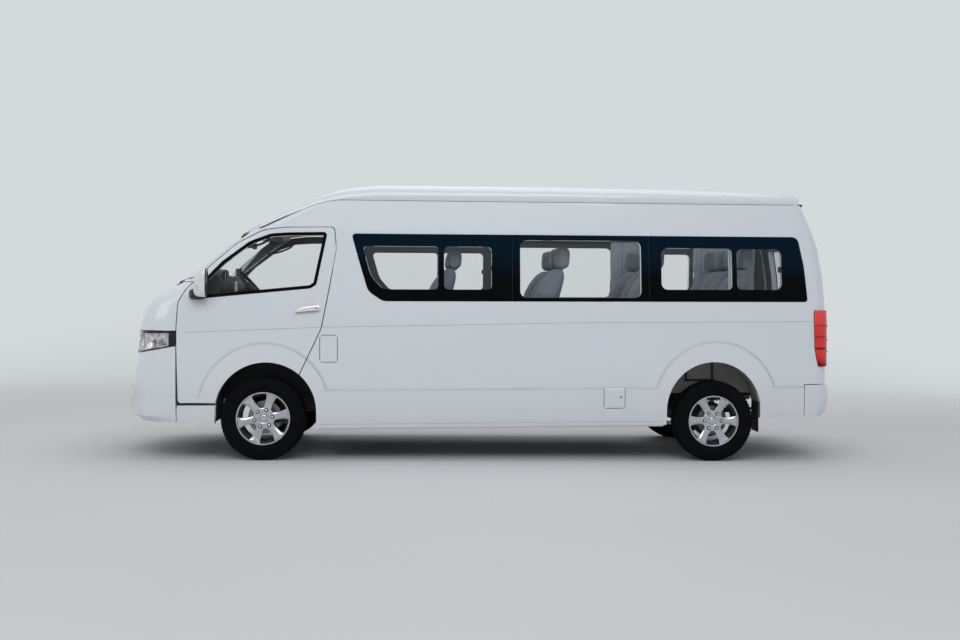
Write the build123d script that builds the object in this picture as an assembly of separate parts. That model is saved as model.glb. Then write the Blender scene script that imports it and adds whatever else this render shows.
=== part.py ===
from build123d import *
import math
import os

# A high-roof minibus of the six-metre class, in millimetres, nose towards -X, up +Z,
# the driver's side at -Y. Everything is laid out in a level body frame whose origin is on
# the ground below the front axle. At the end the whole vehicle is tipped by RAKE about that
# origin, because the unladen tail stands high, and moved so that its length is centred.

# ---- overall -----------------------------------------------------------------------------
WHEELBASE = 3720.0
RAKE = 0.85  # degrees
TRACK = 1655.0
TYRE_RADIUS = 338.0
TYRE_WIDTH = 205.0
RIM_RADIUS = 216.0
SEAM = 6.0  # gap between a fixed panel and its neighbour
DOOR_SEAM = 7.5  # gap round a door that swings
LID_SEAM = 5.5  # gap round the bonnet, tailgate and small lids
WALL = 55.0  # outer skin, pillar and trim together
ROOF_WALL = 40.0
GLASS = 6.0
SEAT_GAP = 0.3  # between a piece and the one that it rests against

# ---- body sections -----------------------------------------------------------------------
# Each row is the body's outline at one height: z, foremost x, rearmost x, half width,
# radius of the front corners, radius of the rear corners.
BODY = [
    (254, -1060, 4700, 896, 380, 120),
    (314, -1105, 4735, 908, 390, 120),
    (361, -1176, 4789, 915, 400, 120),
    (440, -1181, 4799, 921, 400, 120),
    (503, -1169, 4805, 924, 400, 120),
    (563, -1184, 4799, 927, 400, 120),
    (582, -1186, 4790, 928, 400, 120),
    (682, -1184, 4791, 928, 400, 120),
    (777, -1163, 4791, 928, 400, 120),
    (862, -1141, 4791, 928, 400, 120),
    (1050, -1119, 4791, 928, 400, 120),
    (1110, -1110, 4792, 929, 400, 120),
    (1172, -1096, 4790, 924, 400, 120),
    (1269, -1052, 4788, 916, 380, 120),
    (1332, -980, 4784, 910, 330, 120),
    (1381, -896, 4779, 906, 280, 120),
    (1461, -752, 4773, 899, 190, 120),
    (1538, -670, 4764, 892, 140, 120),
    (1765, -394, 4724, 870, 110, 120),
    (1881, -238, 4684, 859, 110, 120),
    (2130, 275, 4578, 824, 110, 120),
]
HALF_WIDTH = 928.0
NOSE_BOW = 1850.0  # plan radius of the nose and windscreen
TAIL_BOW = 5000.0  # plan radius of the tail

# Roof cap above the gutter, cut across: x, half width, crown height, shoulder radius.
ROOF = [
    (-260, 850, 1872, 20),
    (-119, 850, 1926, 26),
    (156, 838, 2073, 45),
    (401, 822, 2190, 70),
    (586, 817, 2251, 90),
    (674, 816, 2270, 95),
    (930, 816, 2296, 100),
    (2453, 816, 2301, 100),
    (3329, 816, 2295, 100),
    (4029, 816, 2282, 100),
    (4430, 816, 2271, 95),
    (4500, 812, 2240, 80),
    (4562, 806, 2150, 50),
]
ROOF_CROWN = 6200.0  # cross radius of the crown
# Gutter line between side and roof cap, as (x, z).
GUTTER = [(-300, 1881), (-47, 1881), (142, 1972), (364, 2063), (507, 2112), (608, 2122), (4700, 2120)]
CAP_NOSE = -238.0

# ---- arches, flares and creases ----------------------------------------------------------
FRONT_ARCH = (26.0, 392.0, 402.0)  # x, z, radius
REAR_ARCH = (3724.0, 380.0, 402.0)
FLARE_PROUD = 11.0
FRONT_FLARE = (12.0, 432.0, 504.0)
REAR_FLARE = (3742.0, 430.0, 510.0)
FLARE_SLOPE = 22.0  # width of the flare's sloping edge
BAND_TOP = 552.0  # top of the proud band along the sill
SILL_BOTTOM = 254.0

# ---- openings in the sides: corners as (x, z, radius) -------------------------------------
DOOR = [
    (-662, 470, 25), (-674, 913, 0), (-674, 1071, 0), (-664, 1277, 60), (-603, 1387, 90),
    (-557, 1432, 0), (-396, 1597, 200), (-215, 1757, 260), (10, 1868, 300), (180, 1888, 0),
    (562, 1894, 30), (580, 1716, 0), (518, 1359, 120), (463, 1070, 160), (292, 700, 0),
    (240, 470, 0),
]
DOOR_WINDOW = [
    (-550, 1306, 18), (-548, 1370, 0), (-326, 1609, 200), (-108, 1774, 220), (60, 1838, 200),
    (204, 1848, 0), (508, 1854, 26), (500, 1800, 0), (424, 1424, 34), (377, 1393, 0),
    (-448, 1313, 0),
]
DOOR_WINDOW_RIM = 26.0
DOOR_INNER_Y = -780.0  # the door's inner side where the nose curves in
SIDE_GLASS = [
    (704, 1843, 26), (4463, 1843, 60), (4512, 1600, 300), (4541, 1290, 26), (960, 1290, 110),
    (840, 1372, 120), (760, 1640, 400),
]
PANE_SEAMS = [2022.0, 3174.0]
PANE_GAP = 5.0
# Clear openings behind the glass, each as corners.
CLEAR = [
    [(791, 1742, 30), (1411, 1742, 30), (1411, 1387, 30), (960, 1387, 90), (860, 1500, 200)],
    [(1458, 1742, 40), (1851, 1742, 40), (1851, 1387, 40), (1458, 1387, 40)],
    [(2087, 1799, 55), (3105, 1799, 55), (3105, 1321, 55), (2087, 1321, 55)],
    [(3278, 1742, 55), (3887, 1742, 40), (3887, 1391, 40), (3278, 1391, 55)],
    [(3930, 1738, 40), (4319, 1738, 55), (4319, 1392, 55), (3930, 1392, 40)],
]
SLIDER = [
    (625, 400, 60), (625, 1890, 60), (1996, 1890, 60), (1996, 400, 60),
]
STEP = [(-666, 300, 0), (-666, 449, 0), (-372, 449, 0), (-377, 300, 0)]
FUEL_LID = [(458, 796, 22), (458, 1010, 22), (594, 1010, 22), (594, 796, 22)]
SERVICE_LID = [(2790, 402, 18), (2790, 572, 18), (2962, 572, 18), (2962, 402, 18)]
LID_THICK = 8.0
LID_BACK = 5.5  # room behind a small lid
BUFFER = 12.0  # rubber stops of the bonnet, tailgate and lids

# ---- nose and tail -----------------------------------------------------------------------
DOOR_EDGE_X = -674.0  # front edge of the front doors
LAMP_TOP = 1050.0
LAMP_BOTTOM_FRONT = 862.0
LAMP_BOTTOM_REAR = 926.0
LAMP_INNER_Y = 420.0
BONNET_HALF = 640.0
BONNET_REAR_Z = 1388.0
BONNET_WALL = 30.0
WING_TOP_Z = 1440.0
SCREEN = [(-800, 1468, 60), (-735, 1864, 60), (735, 1864, 60), (800, 1468, 60)]
PILLAR_X = -30.0  # where the windscreen pillar meets the cant rail
GATE_HALF = 765.0
GATE_TOP = 2078.0
GATE_STOP_Y = 520.0
GATE_HINGE = (4612.0, 2080.0)
HINGE_Y = 410.0
HINGE_WIDE = 22.0
HINGE_BARREL = 9.0
HINGE_PIN = 4.5
NOSE_BOTTOM = 312.0
BUMPER_TOP = 586.0
BUMPER_SIDE_X = 4512.0
BUMPER_BOTTOM = 318.0
TAIL_BOTTOM = 307.0
GATE_GLASS = [(-690, 1300, 60), (-650, 1800, 60), (650, 1800, 60), (690, 1300, 60)]
TAIL_LAMP = [(4614, 1218, 20), (4900, 1218, 0), (4900, 739, 0), (4652, 739, 20), (4620, 900, 120)]
TAIL_LAMP_PROUD = 14.0

# ---- floor, chassis and running gear -------------------------------------------------------
FLOOR_TOP = 600.0
FLOOR_THICK = 40.0
RAIL_Y = 420.0
RAIL_WIDTH = 60.0
RAIL_HEIGHT = 100.0
HOUSING_WALL = 6.0
FRONT_HOUSING_INNER = 498.0
REAR_HOUSING_INNER = 640.0
KINGPIN_Y = 725.0
KINGPIN_RADIUS = 22.0
AXLE_TUBE = 45.0
SPRING_Y = 540.0

# Seats: x of the headrest, its top z, seat centres across.
SEAT_ROWS = [
    (1570, 1715, (-582, -190, 582)),
    (2490, 1752, (-582, -190, 582)),
    (3310, 1760, (-582, -190, 582)),
    (4090, 1765, (-582, -194, 194, 582)),
]
FRONT_SEATS = (640, 1790, (-430, 430))
SEAT_WIDTH = 386.0


# ---- helpers -----------------------------------------------------------------------------
def level(x, z):
    """Ground-frame point in the level body frame."""
    a = math.radians(RAKE)
    return x * math.cos(a) + z * math.sin(a), z * math.cos(a) - x * math.sin(a)


def between(table, key, column):
    """Value of a column at key, on straight lines between the table's rows."""
    for low, high in zip(table, table[1:]):
        if key <= high[0]:
            t = (key - low[0]) / (high[0] - low[0])
            return low[column] + t * (high[column] - low[column])
    return table[-1][column]


def corner(end, bow, half, radius, sign):
    """Tangent points of a corner between a bowed end and a straight side."""
    centre = end - sign * bow
    reach = math.sqrt((bow - radius) ** 2 - (half - radius) ** 2)
    at = centre + sign * reach
    grow = bow / (bow - radius)
    on_bow = (centre + sign * reach * grow, (half - radius) * grow)
    lean = math.atan2(half - radius, reach)
    turn = (lean + math.pi / 2) / 2
    middle = (at + sign * radius * math.cos(turn), half - radius + radius * math.sin(turn))
    return on_bow, middle, (at, half)


def plan_wire(z, nose, tail, half, nose_corner, tail_corner):
    """Body outline at one height."""
    a, b, c = corner(nose, NOSE_BOW, half, nose_corner, -1)
    f, e, d = corner(tail, TAIL_BOW, half, tail_corner, 1)

    def at(p, side=1):
        return (p[0], side * p[1], z)

    return Wire([
        Edge.make_three_point_arc(at(a, -1), (nose, 0, z), at(a)),
        Edge.make_three_point_arc(at(a), at(b), at(c)),
        Edge.make_line(at(c), at(d)),
        Edge.make_three_point_arc(at(d), at(e), at(f)),
        Edge.make_three_point_arc(at(f), (tail, 0, z), at(f, -1)),
        Edge.make_three_point_arc(at(f, -1), at(e, -1), at(d, -1)),
        Edge.make_line(at(d, -1), at(c, -1)),
        Edge.make_three_point_arc(at(c, -1), at(b, -1), at(a, -1)),
    ])


def body_solid(inset, low=None, high=None, extend=0.0):
    """The body's outer form moved inwards by inset, between two heights."""
    heights = [row[0] for row in BODY]
    low = heights[0] if low is None else low
    high = heights[-1] if high is None else high
    levels = [low] + [z for z in heights if low < z < high] + [high]
    wires = []
    for z in levels:
        nose, tail, half, front, rear = (between(BODY, z, n) for n in range(1, 6))
        up, down = min(z + 40, heights[-1]), max(z - 40, heights[0])
        rise = up - down
        lean_nose = (between(BODY, up, 1) - between(BODY, down, 1)) / rise
        lean_tail = (between(BODY, up, 2) - between(BODY, down, 2)) / rise
        wires.append(plan_wire(
            z, nose + inset * math.hypot(1, lean_nose), tail - inset * math.hypot(1, lean_tail),
            half - inset, max(front - inset, 15), max(rear - inset, 15)))
    solid = Solid.make_loft(wires, ruled=True)
    if extend:
        for wire, step in ((wires[0], -extend), (wires[-1], extend)):
            solid = solid + Solid.extrude(Face(wire), Vector(0, 0, step))
    return solid


def roof_solid(inset):
    """The roof cap's form moved inwards, from well below the gutter up to the crown."""
    base = 1700.0
    wires = []
    for x, half, crown, radius in ROOF:
        half = half - inset
        crown = crown - inset
        radius = max(radius - inset, 12)
        on_bow, middle, side = corner(crown, ROOF_CROWN, half, radius, 1)
        points = [(side[1], side[0]), (middle[1], middle[0]), (on_bow[1], on_bow[0])]

        def at(p, s=1):
            return (x, s * p[0], p[1])

        wires.append(Wire([
            Edge.make_line((x, half, base), at(points[0])),
            Edge.make_three_point_arc(at(points[0]), at(points[1]), at(points[2])),
            Edge.make_three_point_arc(at(points[2]), (x, 0, crown), at(points[2], -1)),
            Edge.make_three_point_arc(at(points[2], -1), at(points[1], -1), at(points[0], -1)),
            Edge.make_line(at(points[0], -1), (x, -half, base)),
            Edge.make_line((x, -half, base), (x, half, base)),
        ]))
    return Solid.make_loft(wires, ruled=True)


def rounded(points, place):
    """Closed face through corners (a, b, radius); place turns (a, b) into a point in space."""
    count = len(points)
    ends = []
    for n in range(count):
        a0, b0 = points[n - 1][:2]
        a1, b1 = points[n][:2]
        a2, b2 = points[(n + 1) % count][:2]
        radius = points[n][2] if len(points[n]) > 2 else 0
        if not radius:
            ends.append(((a1, b1), None, (a1, b1)))
            continue
        back = math.hypot(a0 - a1, b0 - b1)
        ahead = math.hypot(a2 - a1, b2 - b1)
        u = ((a0 - a1) / back, (b0 - b1) / back)
        v = ((a2 - a1) / ahead, (b2 - b1) / ahead)
        half = math.acos(max(-1.0, min(1.0, u[0] * v[0] + u[1] * v[1]))) / 2
        reach = radius / math.tan(half)
        w = (u[0] + v[0], u[1] + v[1])
        size = math.hypot(*w)
        off = (radius / math.sin(half) - radius) / size
        ends.append((
            (a1 + u[0] * reach, b1 + u[1] * reach),
            (a1 + w[0] * off, b1 + w[1] * off),
            (a1 + v[0] * reach, b1 + v[1] * reach)))
    edges = []
    for n in range(count):
        start, middle, end = ends[n]
        if middle:
            edges.append(Edge.make_three_point_arc(place(*start), place(*middle), place(*end)))
        after = ends[(n + 1) % count][0]
        if math.hypot(after[0] - end[0], after[1] - end[1]) > 1e-6:
            edges.append(Edge.make_line(place(*end), place(*after)))
    return Face(Wire(edges))


def grown(points, amount):
    """The same corners moved outwards by amount, keeping the form of the outline."""
    count = len(points)
    area = sum(points[n - 1][0] * points[n][1] - points[n][0] * points[n - 1][1] for n in range(count))
    way = 1 if area > 0 else -1
    out = []
    for n in range(count):
        a0, b0 = points[n - 1][:2]
        a1, b1, radius = (tuple(points[n]) + (0,))[:3]
        a2, b2 = points[(n + 1) % count][:2]
        d0 = math.hypot(a1 - a0, b1 - b0)
        d1 = math.hypot(a2 - a1, b2 - b1)
        n0 = ((b1 - b0) / d0 * way, -(a1 - a0) / d0 * way)
        n1 = ((b2 - b1) / d1 * way, -(a2 - a1) / d1 * way)
        scale = amount / (1 + n0[0] * n1[0] + n0[1] * n1[1])
        cross = ((a1 - a0) * (b2 - b1) - (b1 - b0) * (a2 - a1)) * way
        change = amount if cross > 0 else -amount
        out.append((
            a1 + (n0[0] + n1[0]) * scale, b1 + (n0[1] + n1[1]) * scale,
            max(radius + change, 2) if radius else 0))
    return out


def across(points, low, high):
    """Prism along Y of an outline in X and Z."""
    face = rounded(points, lambda a, b: (a, low, b))
    return Solid.extrude(face, Vector(0, high - low, 0))


def along(points, low, high):
    """Prism along X of an outline in Y and Z."""
    face = rounded(points, lambda a, b: (low, a, b))
    return Solid.extrude(face, Vector(high - low, 0, 0))


def upward(points, low, high):
    """Prism along Z of an outline in X and Y."""
    face = rounded(points, lambda a, b: (a, b, low))
    return Solid.extrude(face, Vector(0, 0, high - low))


def block(x0, x1, y0, y1, z0, z1):
    return Pos(x0, y0, z0) * Solid.make_box(x1 - x0, y1 - y0, z1 - z0)


def rod(x, y0, y1, z, radius):
    """Cylinder along Y."""
    return Pos(x, y0, z) * Rot(-90, 0, 0) * Solid.make_cylinder(radius, y1 - y0)


def post(x, y, z0, z1, radius):
    return Pos(x, y, z0) * Solid.make_cylinder(radius, z1 - z0)


def bar(start, end, radius):
    """Round bar between two points."""
    a, b = Vector(*start), Vector(*end)
    plane = Plane(origin=a, z_dir=b - a)
    return plane.location * Solid.make_cylinder(radius, (b - a).length)


def both(shape):
    """The piece and its mirror image on the other side."""
    return [shape, mirror(shape, Plane.XZ)]


def solids(shape):
    return list(shape.solids())


LEFT_LOW = -1100.0
LEFT_HIGH = -700.0
NODES = {}


def keep(name, *shapes):
    """Adds solids to a node."""
    for shape in shapes:
        NODES.setdefault(name, []).extend(solids(shape))


# ---- outer form and its layers -------------------------------------------------------------
def flare_cutter():
    """Proud zone on the left: a disc round each arch and a band along the sill, sloping edges."""
    deep = 60.0
    run = FLARE_SLOPE / FLARE_PROUD * deep
    outer = -(HALF_WIDTH + FLARE_PROUD)
    shapes = []
    for x, z, radius in (FRONT_FLARE, REAR_FLARE):
        cone = Solid.make_cone(radius, radius + run, deep)
        shapes.append(Pos(x, outer, z) * Rot(-90, 0, 0) * cone)
    top = BAND_TOP
    wedge = rounded(
        [(outer, SILL_BOTTOM), (outer, top), (outer + deep, top + run), (outer + deep, SILL_BOTTOM)],
        lambda a, b: (FRONT_FLARE[0], a, b))
    shapes.append(Solid.extrude(wedge, Vector(BUMPER_SIDE_X - FRONT_FLARE[0], 0, 0)))
    return shapes


OUTER = body_solid(0)
PROUD = body_solid(-FLARE_PROUD, high=1060.0)
INNER = body_solid(WALL, extend=60.0)
LEFT_SPACE = block(-1300, 4900, -1100, 0, 100, 2400)
UNDER_GUTTER = across(GUTTER + [(4900, 2120), (4900, 100), (-1300, 100), (-1300, 1881)], -1100, 0)

zone = flare_cutter()
flares = [PROUD & piece for piece in zone]
left_form = OUTER & LEFT_SPACE & UNDER_GUTTER
for piece in flares:
    left_form = left_form + piece
left_shell = left_form - INNER


def arch_cutter(arch, low, high, growth=0.0):
    x, z, radius = arch
    radius = radius + growth
    wheel_space = rod(x, low, high, z, radius)
    return wheel_space + block(x - radius, x + radius, low, high, 150, z)


for arch in (FRONT_ARCH, REAR_ARCH):
    left_shell = left_shell - arch_cutter(arch, LEFT_LOW, -600)

GLASS_INNER = body_solid(GLASS, low=1240.0, high=1900.0)


def skin_of(points, low, high, make=across):
    """Glass layer inside an outline, and the cutter that makes its rebate."""
    prism = make(points, low, high)
    pane = (OUTER & prism) - GLASS_INNER
    rebate = make(grown(points, 2.0), low, high) - GLASS_INNER
    return pane, rebate


# ---- left side, door and small lids --------------------------------------------------------
door_prism = across(DOOR, LEFT_LOW, DOOR_INNER_Y)
door_hole = across(grown(DOOR, DOOR_SEAM), LEFT_LOW, DOOR_INNER_Y + DOOR_SEAM)
nose_zone = block(-1300, -200, -1100, 0, 100, WING_TOP_Z + SEAM)
middle_front = block(-1300, PILLAR_X, -1000, 1000, WING_TOP_Z + SEAM, GUTTER[0][1])
middle_rear = block(4300, 4900, -GATE_HALF - LID_SEAM, 0, 100, 2400)
rear_bumper_zone = block(BUMPER_SIDE_X - SEAM, 4900, -1100, 0, 100, BUMPER_TOP + SEAM)

door_left = left_shell & door_prism
clear_window = grown(DOOR_WINDOW, -DOOR_WINDOW_RIM)
door_glass, door_rebate = skin_of(DOOR_WINDOW, LEFT_LOW, LEFT_HIGH)
door_left = door_left - door_rebate - across(clear_window, LEFT_LOW, LEFT_HIGH)

side = left_shell - door_hole - nose_zone - middle_front - middle_rear - rear_bumper_zone
strip_left, strip_rebate = skin_of(SIDE_GLASS, LEFT_LOW, LEFT_HIGH)
for x in PANE_SEAMS:
    strip_left = strip_left - block(x - PANE_GAP / 2, x + PANE_GAP / 2, LEFT_LOW, LEFT_HIGH, 1000, 2000)
side = side - strip_rebate
for hole in CLEAR:
    side = side - across(hole, LEFT_LOW, LEFT_HIGH)
lamp_prism = across(TAIL_LAMP, LEFT_LOW, -GATE_HALF - LID_SEAM)
lamp_form = body_solid(-TAIL_LAMP_PROUD, low=700.0, high=1260.0)
tail_lamp = (lamp_form & lamp_prism) - INNER - strip_rebate
side = side - across(grown(TAIL_LAMP, 1.0), LEFT_LOW, -GATE_HALF - LID_SEAM)
side_right = mirror(side, Plane.XZ)


def small_lid(outline, inner, low, high):
    """A lid hinged at its front edge, and the recess behind it with a buffer at its free edge."""
    prism = across(outline, LEFT_LOW, LEFT_HIGH)
    lid = (left_shell - body_solid(inner, low=low, high=high)) & prism
    rear = max(point[0] for point in outline)
    middle = sum(point[1] for point in outline) / len(outline)
    buffer = block(rear - 2 * BUFFER, rear - BUFFER, LEFT_LOW, LEFT_HIGH, middle - BUFFER, middle + BUFFER)
    buffer = buffer & body_solid(inner + SEAT_GAP, low=low, high=high)
    recess = across(grown(outline, LID_SEAM), LEFT_LOW, LEFT_HIGH)
    recess = recess - body_solid(inner + LID_BACK, low=low, high=high) - buffer
    return lid, recess


fuel_lid, fuel_recess = small_lid(FUEL_LID, LID_THICK, 700.0, 1080.0)
service_lid, service_recess = small_lid(SERVICE_LID, LID_THICK - FLARE_PROUD, 300.0, 1080.0)
side = side - fuel_recess - service_recess
slider_prism = across(SLIDER, -1100, -700)
slider = mirror(left_shell & slider_prism, Plane.XZ)
right_rebate = mirror(strip_rebate, Plane.XZ)
slider = slider - right_rebate
for hole in CLEAR[:2]:
    slider = slider - mirror(across(hole, LEFT_LOW, LEFT_HIGH), Plane.XZ)
side_right = side_right - mirror(across(grown(SLIDER, SEAM), LEFT_LOW, LEFT_HIGH), Plane.XZ)

side = side - block(REAR_ARCH[0], 5000, -1100, 0, 100, TAIL_BOTTOM)
side_right = side_right - block(REAR_ARCH[0], 5000, 0, 1100, 100, TAIL_BOTTOM)
keep("side_left", side)
keep("side_right", side_right)
keep("sliding_door", slider)
keep("door_left", door_left)
keep("door_right", mirror(door_left, Plane.XZ))
keep("door_glass_left", door_glass)
keep("door_glass_right", mirror(door_glass, Plane.XZ))
keep("side_glass", strip_left, mirror(strip_left, Plane.XZ))
keep("tail_lamps", *both(tail_lamp))
keep("fuel_lid", fuel_lid)
keep("service_lid", service_lid)
step_panel = left_shell & across(STEP, LEFT_LOW, LEFT_HIGH)
keep("step_panels", *both(step_panel))

# ---- nose ----------------------------------------------------------------------------------
LAMP_OUTLINE = [
    (-1300, LAMP_BOTTOM_FRONT), (-1030, LAMP_BOTTOM_FRONT), (DOOR_EDGE_X - DOOR_SEAM, LAMP_BOTTOM_REAR),
    (DOOR_EDGE_X - DOOR_SEAM, LAMP_TOP), (-1300, LAMP_TOP)]
EDGE = DOOR_EDGE_X - DOOR_SEAM
LAMP_DEPTH = 50.0
LAMP_GAP = 0.8
lamp_inner = body_solid(LAMP_DEPTH, low=840.0, high=1070.0)
lamp = (OUTER & across(LAMP_OUTLINE, -1000, -LAMP_INNER_Y)) - lamp_inner
keep("head_lamps", *both(lamp))

GRILLE_BARS = 4
GRILLE_FRAME = 14.0
GRILLE_BAR = 13.0
GRILLE_DEPTH = 36.0
BONNET_STOP_Y = 330.0
grille_low = LAMP_BOTTOM_FRONT + LAMP_GAP
grille_high = LAMP_TOP - LAMP_GAP
grille_half = LAMP_INNER_Y - LAMP_GAP
grille_back = body_solid(GRILLE_DEPTH, low=840.0, high=1070.0)
grille = (OUTER & block(-1300, -900, -grille_half, grille_half, grille_low, grille_high)) - grille_back
pitch = (grille_high - grille_low - GRILLE_FRAME * 2 + GRILLE_BAR) / (GRILLE_BARS + 1)
for n in range(GRILLE_BARS + 1):
    low = grille_low + GRILLE_FRAME + n * pitch
    inside = grille_half - GRILLE_FRAME
    grille = grille - block(-1300, -900, -inside, inside, low, low + pitch - GRILLE_BAR)
bonnet_gap = LAMP_TOP + LID_SEAM - SEAT_GAP - grille_high
for y in (-BONNET_STOP_Y, BONNET_STOP_Y):
    stop = block(-1300, -900, y - BUFFER, y + BUFFER, grille_high - 1, grille_high + bonnet_gap)
    grille = grille + ((OUTER & stop) - grille_back)
keep("grille", grille)

bumper_top = across(
    [(-1300, NOSE_BOTTOM), (-1300, LAMP_BOTTOM_FRONT - LAMP_GAP), (-1030, LAMP_BOTTOM_FRONT - LAMP_GAP),
     (EDGE, LAMP_BOTTOM_REAR - LAMP_GAP), (EDGE, NOSE_BOTTOM)], -1100, 1100)
bumper = (OUTER & bumper_top) - INNER
INTAKE = [(-430, 390, 30), (-400, 560, 30), (400, 560, 30), (430, 390, 30)]
bumper = bumper - along(INTAKE, -1300, -900)
keep("front_bumper", bumper)

bonnet_zone = block(-1300, -500, -BONNET_HALF, BONNET_HALF, LAMP_TOP + LID_SEAM, BONNET_REAR_Z)
bonnet = (OUTER & bonnet_zone) - body_solid(BONNET_WALL, low=1000.0, high=1440.0)
keep("bonnet", bonnet)

wing_zone = block(-1300, -400, -1000, -BONNET_HALF - LID_SEAM, LAMP_TOP + LAMP_GAP, WING_TOP_Z)
wing = (OUTER & wing_zone) - INNER - door_hole
keep("front_wings", *both(wing))

cowl_zone = block(-1300, -400, -BONNET_HALF, BONNET_HALF, BONNET_REAR_Z + LID_SEAM, WING_TOP_Z + SEAM)
front_form = (OUTER & middle_front) + (OUTER & cowl_zone)
screen, screen_rebate = skin_of(SCREEN, -1300, 200, along)
front_frame = front_form - INNER - screen_rebate - along(grown(SCREEN, -30.0), -1300, 200)
front_frame = front_frame - door_hole - mirror(door_hole, Plane.XZ)
BULKHEAD_X = -665.0
BULKHEAD_THICK = 25.0
BULKHEAD_HALF = 740.0
BULKHEAD_TOP = 1340.0
bulkhead = INNER & block(
    BULKHEAD_X, BULKHEAD_X + BULKHEAD_THICK, -BULKHEAD_HALF, BULKHEAD_HALF, FLOOR_TOP, BULKHEAD_TOP)
keep("front_frame", front_frame)
keep("windscreen", screen)
keep("bulkhead", bulkhead)

# ---- roof and tail ---------------------------------------------------------------------------
CAP_TAIL = 4565.0
CAP_CORNER = 150.0
cap_plan = Solid.extrude(
    Face(plan_wire(1700, CAP_NOSE, CAP_TAIL, 862, 110, CAP_CORNER)), Vector(0, 0, 700))
over_gutter = across(GUTTER + [(4700, 2400), (-300, 2400)], -1100, 1100)
roof_space = roof_solid(ROOF_WALL) & block(-300, CAP_TAIL - 60, -1000, 1000, 1600, 2400)
roof_cap = (roof_solid(0) & over_gutter & cap_plan) - roof_space
keep("roof_cap", roof_cap)

tail_form = (OUTER & block(4300, 4900, -GATE_HALF, GATE_HALF, BUMPER_TOP + LID_SEAM, 2119.5)) - INNER
gate = tail_form & block(4300, 4900, -GATE_HALF, GATE_HALF, 500, GATE_TOP)
gate_glass, gate_rebate = skin_of(GATE_GLASS, 4300, 4900, along)
gate = gate - gate_rebate - along(grown(GATE_GLASS, -28.0), 4300, 4900)
rear_frame = tail_form & block(4300, 4900, -GATE_HALF, GATE_HALF, GATE_TOP + LID_SEAM, 2119.5)
hinge_x, hinge_z = GATE_HINGE
for side_sign in (-1, 1):
    fixed = sorted((side_sign * HINGE_Y, side_sign * (HINGE_Y + HINGE_WIDE)))
    moving = sorted((side_sign * (HINGE_Y + HINGE_WIDE + SEAT_GAP), side_sign * (HINGE_Y + 2 * HINGE_WIDE)))
    pin = sorted((side_sign * (HINGE_Y + 1), side_sign * (HINGE_Y + 2 * HINGE_WIDE + 3)))
    lug = block(hinge_x - 70, hinge_x + HINGE_BARREL, *fixed, GATE_TOP + LID_SEAM + 2, GATE_TOP + LID_SEAM + 18)
    rear_frame = rear_frame + (lug - INNER) + rod(hinge_x, *fixed, hinge_z, HINGE_BARREL)
    rear_frame = rear_frame + rod(hinge_x, *pin, hinge_z, HINGE_PIN)
    leaf = block(hinge_x - 60, hinge_x + HINGE_BARREL, *moving, hinge_z - 40, hinge_z - 4)
    gate = gate + (leaf - INNER) + rod(hinge_x, *moving, hinge_z, HINGE_BARREL)
    gate = gate - rod(hinge_x, *moving, hinge_z, HINGE_PIN + 0.05)
keep("tailgate", gate)
keep("tailgate_glass", gate_glass)
keep("rear_frame", rear_frame)
tail_bar = INNER & block(4560, 4620, -1000, 1000, FLOOR_TOP - FLOOR_THICK - 60, FLOOR_TOP - FLOOR_THICK)
bumper_proud = body_solid(-FLARE_PROUD, low=BUMPER_BOTTOM, high=BUMPER_TOP)
rear_bumper = (bumper_proud & block(BUMPER_SIDE_X, 5000, -1100, 1100, 100, BUMPER_TOP)) - INNER
gate_inner = body_solid(WALL, low=500.0, high=700.0)
for y in (-GATE_STOP_Y, GATE_STOP_Y):
    stop = block(4600, 5000, y - BUFFER, y + BUFFER, BUMPER_TOP - 1, BUMPER_TOP + LID_SEAM - SEAT_GAP)
    rear_bumper = rear_bumper + ((OUTER & stop) - gate_inner)
keep("rear_bumper", rear_bumper)

# ---- floor, rails and wheel housings -----------------------------------------------------------
FRONT_X, FRONT_Z = level(0, TYRE_RADIUS)
REAR_X, REAR_Z = level(WHEELBASE, TYRE_RADIUS)
HOUSING_OUTER = 866.0


def housing(arch, inner, cheek_low):
    """Liner of one wheel arch: a bent band from the wall inwards and an inner cheek."""
    low, high = -HOUSING_OUTER, -inner
    outside = arch_cutter(arch, low, high, HOUSING_WALL + 2)
    band = outside - arch_cutter(arch, low - 5, high + 5, 2)
    cheek = arch_cutter(arch, high - HOUSING_WALL, high, HOUSING_WALL + 2)
    cheek = cheek & block(-1000, 5000, -1000, 0, cheek_low, 2000)
    return (band + cheek) & INNER & block(-1000, 5000, -1000, 0, 310, 2000)


front_housing = housing(FRONT_ARCH, FRONT_HOUSING_INNER, 520)
rear_housing = housing(REAR_ARCH, REAR_HOUSING_INNER, 500)
keep("wheel_housings", *both(front_housing), *both(rear_housing))

floor = INNER & block(-1060, 4660, -1000, 1000, FLOOR_TOP - FLOOR_THICK, FLOOR_TOP)
DOOR_SILL_Y = 858.0
PLATFORM = (-60.0, 740.0)
PLATFORM_TOP = 880.0
COVER_HALF = 470.0
DOOR_STOP = (-560.0, -500.0, -1000.0, -854.0, 566.0, 594.0)  # rubber stop behind each front door
for side_sign in (-1, 1):
    edge = sorted((side_sign * DOOR_SILL_Y, side_sign * 1000))
    floor = floor - block(-700, 600, edge[0], edge[1], 500, 700)
    for arch, inner in ((FRONT_ARCH, FRONT_HOUSING_INNER), (REAR_ARCH, REAR_HOUSING_INNER)):
        cut = arch_cutter(arch, -1000, -inner + SEAT_GAP, HOUSING_WALL + 2 + SEAT_GAP)
        floor = floor - (cut if side_sign < 0 else mirror(cut, Plane.XZ))
cover_outer = block(-340, PLATFORM[1], -COVER_HALF, COVER_HALF, FLOOR_TOP, PLATFORM_TOP)
platform = block(*PLATFORM, -840, 840, PLATFORM_TOP - 30, PLATFORM_TOP)
engine_space = block(-332, PLATFORM[1] - 8, -COVER_HALF + 8, COVER_HALF - 8, 400, PLATFORM_TOP - 30)
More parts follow.
